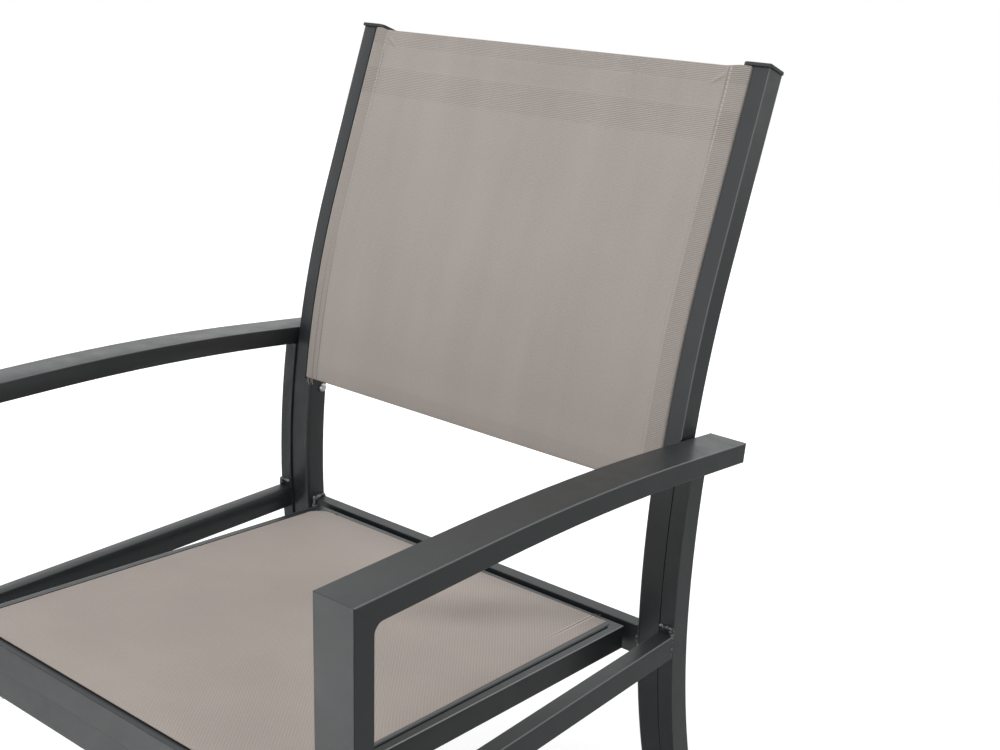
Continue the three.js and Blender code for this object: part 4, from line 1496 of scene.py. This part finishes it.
def stretched_noise(nodes, links, vector, scale, detail):
    stretched = nodes.new("ShaderNodeMapping")
    stretched.inputs["Scale"].default_value = scale
    links.new(vector, stretched.inputs["Vector"])
    noise = noise_in(nodes, links, stretched.outputs["Vector"], 1.0, detail=detail)
    return Pattern(nodes, links, noise)


def woven_finish(name, cloth_piece, dark, light, marks, along_start, streakiness, cloudiness):
    """marks gives what is drawn on the cloth: shade, ribs, height, thread and perhaps bare metal."""
    finish, nodes, links = new_finish(name)
    shader = nodes["Principled BSDF"]
    on_cloth = nodes.new("ShaderNodeUVMap")
    on_cloth.uv_map = cloth_piece.data.uv_layers.active.name
    cloth_place = on_cloth.outputs["UV"]
    split = nodes.new("ShaderNodeSeparateXYZ")
    links.new(cloth_place, split.inputs["Vector"])
    across = Pattern(nodes, links, split.outputs["X"])
    along = Pattern(nodes, links, split.outputs["Y"]) - along_start
    streaks = stretched_noise(nodes, links, cloth_place, streak_scale, 3)
    clouds = stretched_noise(nodes, links, cloth_place, cloud_scale, 3)
    slubs = stretched_noise(nodes, links, cloth_place, slub_scale, 2)
    shade = streaks * streakiness + clouds * cloudiness + slubs * slub_depth
    shade = shade + (middle_shade - (streakiness + cloudiness) / 2)
    drawn = marks(across, along)
    weave = across.wave(yarn_pitch) * yarn_depth + along.wave(rib_pitch) * (drawn["ribs"] + rib_depth)
    shade = shade + drawn["shade"] + weave
    colour = between(nodes, links, shade.socket, dark, light)
    colour = laid_over(nodes, links, drawn["thread"].socket, thread_colour, colour)
    if "metal" in drawn:
        colour = laid_over(nodes, links, drawn["metal"].socket, lip_metal_colour, colour)
    links.new(colour, shader.inputs["Base Color"])
    shader.inputs["Roughness"].default_value = 0.6
    shader.inputs["Specular IOR Level"].default_value = 0.3
    relief = (drawn["height"] + weave).socket
    links.new(bumped(nodes, links, relief, weave_strength, weave_height), shader.inputs["Normal"])
    return finish


print("ribs every", rib_pitch / mm, "mm, yarns every", yarn_pitch / mm, "mm")

# %% [markdown]
# The back sling's marks: the ribbed side pockets, the hems and the band where the bar lies behind the
# cloth, all a little darker. Painted light makes the cloth a little lighter towards the bottom and a
# little darker at the top. The stitches stand out near the top and fade below, beside a groove with
# painted shade in it, and low on the right two seam grooves are darkened with painted shade. The left
# pocket's ribs are the plainer ones to see.

# %% Marks on the back sling
first_front = next(j for j, row in enumerate(back_rows) if row[0] == "front")
seam_x, stitch_half_width, seam_line_half_width = 211.4 * mm, 0.9 * mm, 1.1 * mm
pocket_darker, pocket_ribs, more_ribs_on_left = 0.17, 0.07, 0.13
back_bands = [
    # (from, to, darker by, stronger ribs by)
    (-5 * mm, sling_top + hem_depth, 0.08, 0.12),
    (43 * mm, 73 * mm, 0.07, 0.16),
    (sling_bottom - hem_depth, 400 * mm, 0.03, 0.05),
]


def back_marks(across, along):
    beside = across.size()
    in_pocket = beside.rising(212 * mm, 213 * mm)
    # Painted light: the cloth is a little lighter towards the bottom and a little darker at the top.
    painted_light_below = along.rising(120 * mm, 390 * mm) * 0.09 - 0.03
    shade = painted_light_below - in_pocket * pocket_darker
    margin_ribs = beside.within(175 * mm, 213 * mm, blend=20 * mm) * 0.06
    on_left = across.rising(-1 * mm, 1 * mm)
    ribs = in_pocket * (on_left * more_ribs_on_left + pocket_ribs) + margin_ribs
    for start, end, darker, stronger in back_bands:
        in_band = along.within(start, end)
        shade = shade - in_band * darker
        ribs = ribs + in_band * stronger
    beads = along.wave(stitch_pitch).rising(-0.6, 0.2)
    fading = along.rising(110 * mm, 60 * mm) * 0.7 + 0.3
    stitches = beside.line_at(seam_x, stitch_half_width) * beads * fading
    groove = beside.line_at(seam_x - 1.6 * mm, stitch_half_width) * fading
    low_on_right = across.rising(0, -1 * mm) * along.rising(220 * mm, 330 * mm)
    seam_groove_shade = beside.line_at(212.5 * mm, seam_line_half_width) + beside.line_at(219.5 * mm, seam_line_half_width)
    # Painted shade darkens the groove beside the stitches and, low on the right, two seam grooves.
    shade = shade - groove * 0.35 - seam_groove_shade * low_on_right * 0.5
    return {
        "shade": shade,
        "ribs": ribs,
        "height": stitches * 1.5 - groove,
        "thread": stitches * 0.55,
    }


back_fabric = woven_finish(
    "back_sling_fabric",
    back_sling,
    dark=(0.196, 0.175, 0.159),
    light=(0.477, 0.432, 0.399),
    marks=back_marks,
    along_start=back_along[first_front] - back_rows[first_front][1],
    streakiness=0.3,
    cloudiness=0.16,
)
print("made", back_fabric.name)

# %% [markdown]
# The seat sling's marks: a folded rear edge with a painted shadow line along it, two rows of stitches
# that run forward from the rear corners with a groove between them that is darkened with painted shade, a
# slanting twill that is stronger on the left, a painted shadow of the left armrest that lies askew beside
# it, and the left edge, where the mesh is drawn down tight over the rail's lip and the dark metal shows
# through it.

# %% Marks on the seat sling
fold_depth = 8.5 * mm
seam_inner_x, seam_middle_x, seam_outer_x = 175.6 * mm, 177.4 * mm, 179.2 * mm
seam_fades, seam_ends = 40 * mm, 85 * mm
twill_pitch, twill_across, twill_along = 2.6 * mm, 0.79, 0.62
armrest_shadow_slant, armrest_shadow_middle, armrest_shadow_half_width = 0.73, 138 * mm, 62 * mm


def seat_marks(across, along):
    beside = across.size()
    from_rear = along * -1 + sling_rear
    in_fold = from_rear.rising(fold_depth + 0.5 * mm, fold_depth - 0.5 * mm)
    on_left = across.rising(-60 * mm, 60 * mm)
    near_rear = from_rear.rising(seam_ends, seam_fades) * (on_left * 0.75 + 0.25)
    rows = beside.line_at(seam_inner_x, seam_line_half_width) + beside.line_at(seam_outer_x, seam_line_half_width)
    beads = along.wave(stitch_pitch).rising(-0.8, 0.0)
    stitches = rows * near_rear * beads
    # Painted shade in the groove between the two rows of stitches.
    groove = beside.line_at(seam_middle_x, 1 * mm) * near_rear
    slanting = across * twill_across + along * twill_along
    twill = slanting.wave(twill_pitch) * (on_left * 0.065 + 0.02)
    # A painted shadow of the left armrest: a soft dark band that lies askew on the left half of the seat.
    armrest_shadow_band = (across * armrest_shadow_slant + from_rear).line_at(armrest_shadow_middle, armrest_shadow_half_width)
    soft_armrest_shadow = armrest_shadow_band * armrest_shadow_band * (armrest_shadow_band * -2 + 3) * across.rising(5 * mm, 90 * mm)
    painted_armrest_shadow = soft_armrest_shadow * (across.rising(165 * mm, 100 * mm) * 0.6 + 0.4)
    # A painted shadow line along the edge of the fold.
    fold_edge_shadow = from_rear.line_at(fold_depth, 0.8 * mm)
    return {
        "shade": twill - in_fold * 0.03 - groove * 0.7 - painted_armrest_shadow * 0.4 - fold_edge_shadow * 0.05,
        "ribs": in_fold * 0.05,
        "height": stitches - groove,
        "thread": stitches * 0.9,
        "metal": across.rising(194.9 * mm, 195.2 * mm),
    }


seat_fabric = woven_finish(
    "seat_sling_fabric",
    seat_sling,
    dark=(0.184, 0.160, 0.145),
    light=(0.448, 0.392, 0.358),
    marks=seat_marks,
    along_start=0,
    streakiness=0.06,
    cloudiness=0.42,
)
print("made", seat_fabric.name)

# %% [markdown]
# ## Who wears what
# Each new piece rides on the chair's one body, stands for the solid that it replaces, and is given its
# finish.

# %% Dress the frame, the caps and the feet
def dress(piece, finish, slot, *nodes):
    piece.data.materials.clear()
    piece.data.materials.append(finish)
    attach(piece, "root")
    if nodes:
        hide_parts(*nodes)


frame_pieces = {
    post_left: "back_post_left",
    post_right: "back_post_right",
    rear_leg_left: "rear_leg_left",
    rear_leg_right: "rear_leg_right",
    armrest_left: "armrest_left",
    armrest_right: "armrest_right",
    front_leg_left: "front_leg_left",
    front_leg_right: "front_leg_right",
    side_rail_left: "side_rail_left",
    side_rail_right: "side_rail_right",
    rear_cross_rail: "rear_cross_rail",
    spreader_bar: "back_spreader_bar",
    front_cross_rail: "front_cross_rail",
    seat_side_left: "seat_side_rail_left",
    seat_side_right: "seat_side_rail_right",
    seat_rear: "seat_rear_rail",
    seat_front: "seat_front_rail",
}
for piece, node in frame_pieces.items():
    dress(piece, powder_coat, "powder_coated_aluminium", node)
for bead in (*beads_left, *beads_right):
    dress(bead, weld_coat, "powder_coated_aluminium")

plastic_nodes = ["back_post_cap", "armrest_end_cap"]
rubber_nodes = ["front_leg_foot", "back_post_foot", "rear_leg_foot"]
for left, right, node in zip(plastic_left, plastic_right, plastic_nodes):
    dress(left, black_plastic, "black_plastic", f"{node}_left")
    dress(right, black_plastic, "black_plastic", f"{node}_right")
for left, right, node in zip(rubber_left, rubber_right, rubber_nodes):
    dress(left, foot_rubber, "foot_rubber", f"{node}_left")
    dress(right, foot_rubber, "foot_rubber", f"{node}_right")
print("dressed", len(frame_pieces), "tubes")

# %% [markdown]
# The slings and the loose yarns that belong to them are dressed in the mesh's finishes.

# %% Dress the slings
dress(back_sling, back_fabric, "sling_mesh", "back_sling")
dress(seat_sling, seat_fabric, "sling_mesh", "seat_sling")
dress(back_yarn_ends, back_fabric, "sling_mesh")
dress(seat_yarn_ends, seat_fabric, "sling_mesh")
print("two slings are stretched")

# %% [markdown]
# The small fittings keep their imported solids, which are already as round as they look, and only get a
# finish: zinc on screws, bolts and nuts, black plastic on spacers, splines and plugs.

# %% Dress the fittings
kept = 0
for name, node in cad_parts.items():
    if node.hide_render:
        continue
    steel = any(word in name for word in ("screw", "bolt", "nut"))
    finish = zinc_steel if steel else black_plastic
    for index in range(len(node.material_slots)):
        node.material_slots[index].material = finish
    kept += 1
print("kept", kept, "solids as they are")

# %% [markdown]
# ## The studio
# A plain pale floor under plain soft light, with a white background. The floor is lifted to white where
# the camera sees it, less so under the chair, where it keeps the chair's soft shadow. A glow that only
# the camera sees was chosen over a brighter floor, which would light the chair from below.

# %% Floor
floor_size, floor_grey, mirrored_lift = 9, 0.5, 0.07
lift_at_chair, lift_far_off = 0.64, 1.0
near_chair, far_off = 0.45, 1.5


def rays_in(nodes, links):
    """Patterns that are 1 for a ray from the camera, off a shiny surface, or through a clear one."""
    path = nodes.new("ShaderNodeLightPath").outputs
    kinds = ("Is Camera Ray", "Is Glossy Ray", "Is Transmission Ray")
    return [Pattern(nodes, links, path[kind]) for kind in kinds]


deselect_all()
bpy.ops.mesh.primitive_plane_add(size=floor_size)
floor = call_it("studio_floor")
floor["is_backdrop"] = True
floor_finish, nodes, links = new_finish("studio_floor")
shader = nodes["Principled BSDF"]
shader.inputs["Base Color"].default_value = (floor_grey, floor_grey, floor_grey, 1)
shader.inputs["Roughness"].default_value = 0.9
shader.inputs["Specular IOR Level"].default_value = 0
from_middle = nodes.new("ShaderNodeVectorMath")
from_middle.operation = "LENGTH"
links.new(nodes.new("ShaderNodeTexCoord").outputs["Object"], from_middle.inputs[0])
distance = from_middle.outputs["Value"]
floor_lift = in_range(nodes, links, distance, lift_at_chair, lift_far_off, near_chair, far_off)
from_camera, off_gloss, through_glass = rays_in(nodes, links)
lift = from_camera * Pattern(nodes, links, floor_lift) + (off_gloss + through_glass) * mirrored_lift
glow = nodes.new("ShaderNodeEmission")
links.new(lift.socket, glow.inputs["Strength"])
lifted = nodes.new("ShaderNodeAddShader")
links.new(shader.outputs["BSDF"], lifted.inputs[0])
links.new(glow.outputs["Emission"], lifted.inputs[1])
links.new(lifted.outputs["Shader"], nodes["Material Output"].inputs["Surface"])
floor.data.materials.append(floor_finish)
print("floor", [round(v, 1) for v in floor.dimensions])

# %% [markdown]
# The world gives even light from all round. What the camera, a reflection or a see-through surface
# sees of it is plain white, so the background is white and the coat has something bright to reflect.

# %% World
world_light, world_seen = 0.5, 1.0
world = bpy.data.worlds.new("studio")
bpy.context.scene.world = world
world.use_nodes = True
nodes, links = world.node_tree.nodes, world.node_tree.links


def plain_light(strength):
    light = nodes.new("ShaderNodeBackground")
    light.inputs["Color"].default_value = (1, 1, 1, 1)
    light.inputs["Strength"].default_value = strength
    return light.outputs["Background"]


from_camera, off_gloss, through_glass = rays_in(nodes, links)
seen = from_camera.math("MAXIMUM", off_gloss).math("MAXIMUM", through_glass)
sky = nodes.new("ShaderNodeMixShader")
links.new(seen.socket, sky.inputs["Fac"])
links.new(plain_light(world_light), sky.inputs[1])
links.new(plain_light(world_seen), sky.inputs[2])
links.new(sky.outputs["Shader"], nodes["World Output"].inputs["Surface"])
print("world light", world_light, "seen as", world_seen)

# %% [markdown]
# Three softboxes shape the tubes: a large one overhead for the upper faces, a narrow one on the floor in
# front, and a wide, far one from the front that brings out the faces towards the camera.

# %% Softboxes
def softbox(name, place, aim, size, power, spread=180):
    deselect_all()
    bpy.ops.object.light_add(type="AREA", location=place)
    lamp = bpy.context.object
    lamp.name = name
    lamp.data.shape = "RECTANGLE"
    lamp.data.size, lamp.data.size_y = size
    lamp.data.energy = power
    lamp.data.spread = math.radians(spread)
    lamp.rotation_euler = (Vector(aim) - Vector(place)).to_track_quat("-Z", "Y").to_euler()


softbox("overhead_softbox", (0, -0.5, 3.2), (0, 0, 0.4), size=(3, 3), power=55)
softbox(
    "front_floor_softbox", (-0.35, -1.45, 2.0), (-0.35, -1.45, 0), size=(1.2, 1.2), power=24, spread=40
)
softbox("far_front_softbox", (-0.3, -4.2, 1.7), (0, 0, 0.6), size=(4, 2.4), power=22)

# %% [markdown]
# Last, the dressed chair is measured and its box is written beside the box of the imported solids.

# %% Check and finish
bpy.context.scene.view_settings.view_transform = "Standard"
visual_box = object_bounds()
for name, box in (("solids", cad_box), ("dressed", visual_box)):
    print(name, [[round(v / mm, 1) for v in corner] for corner in box])
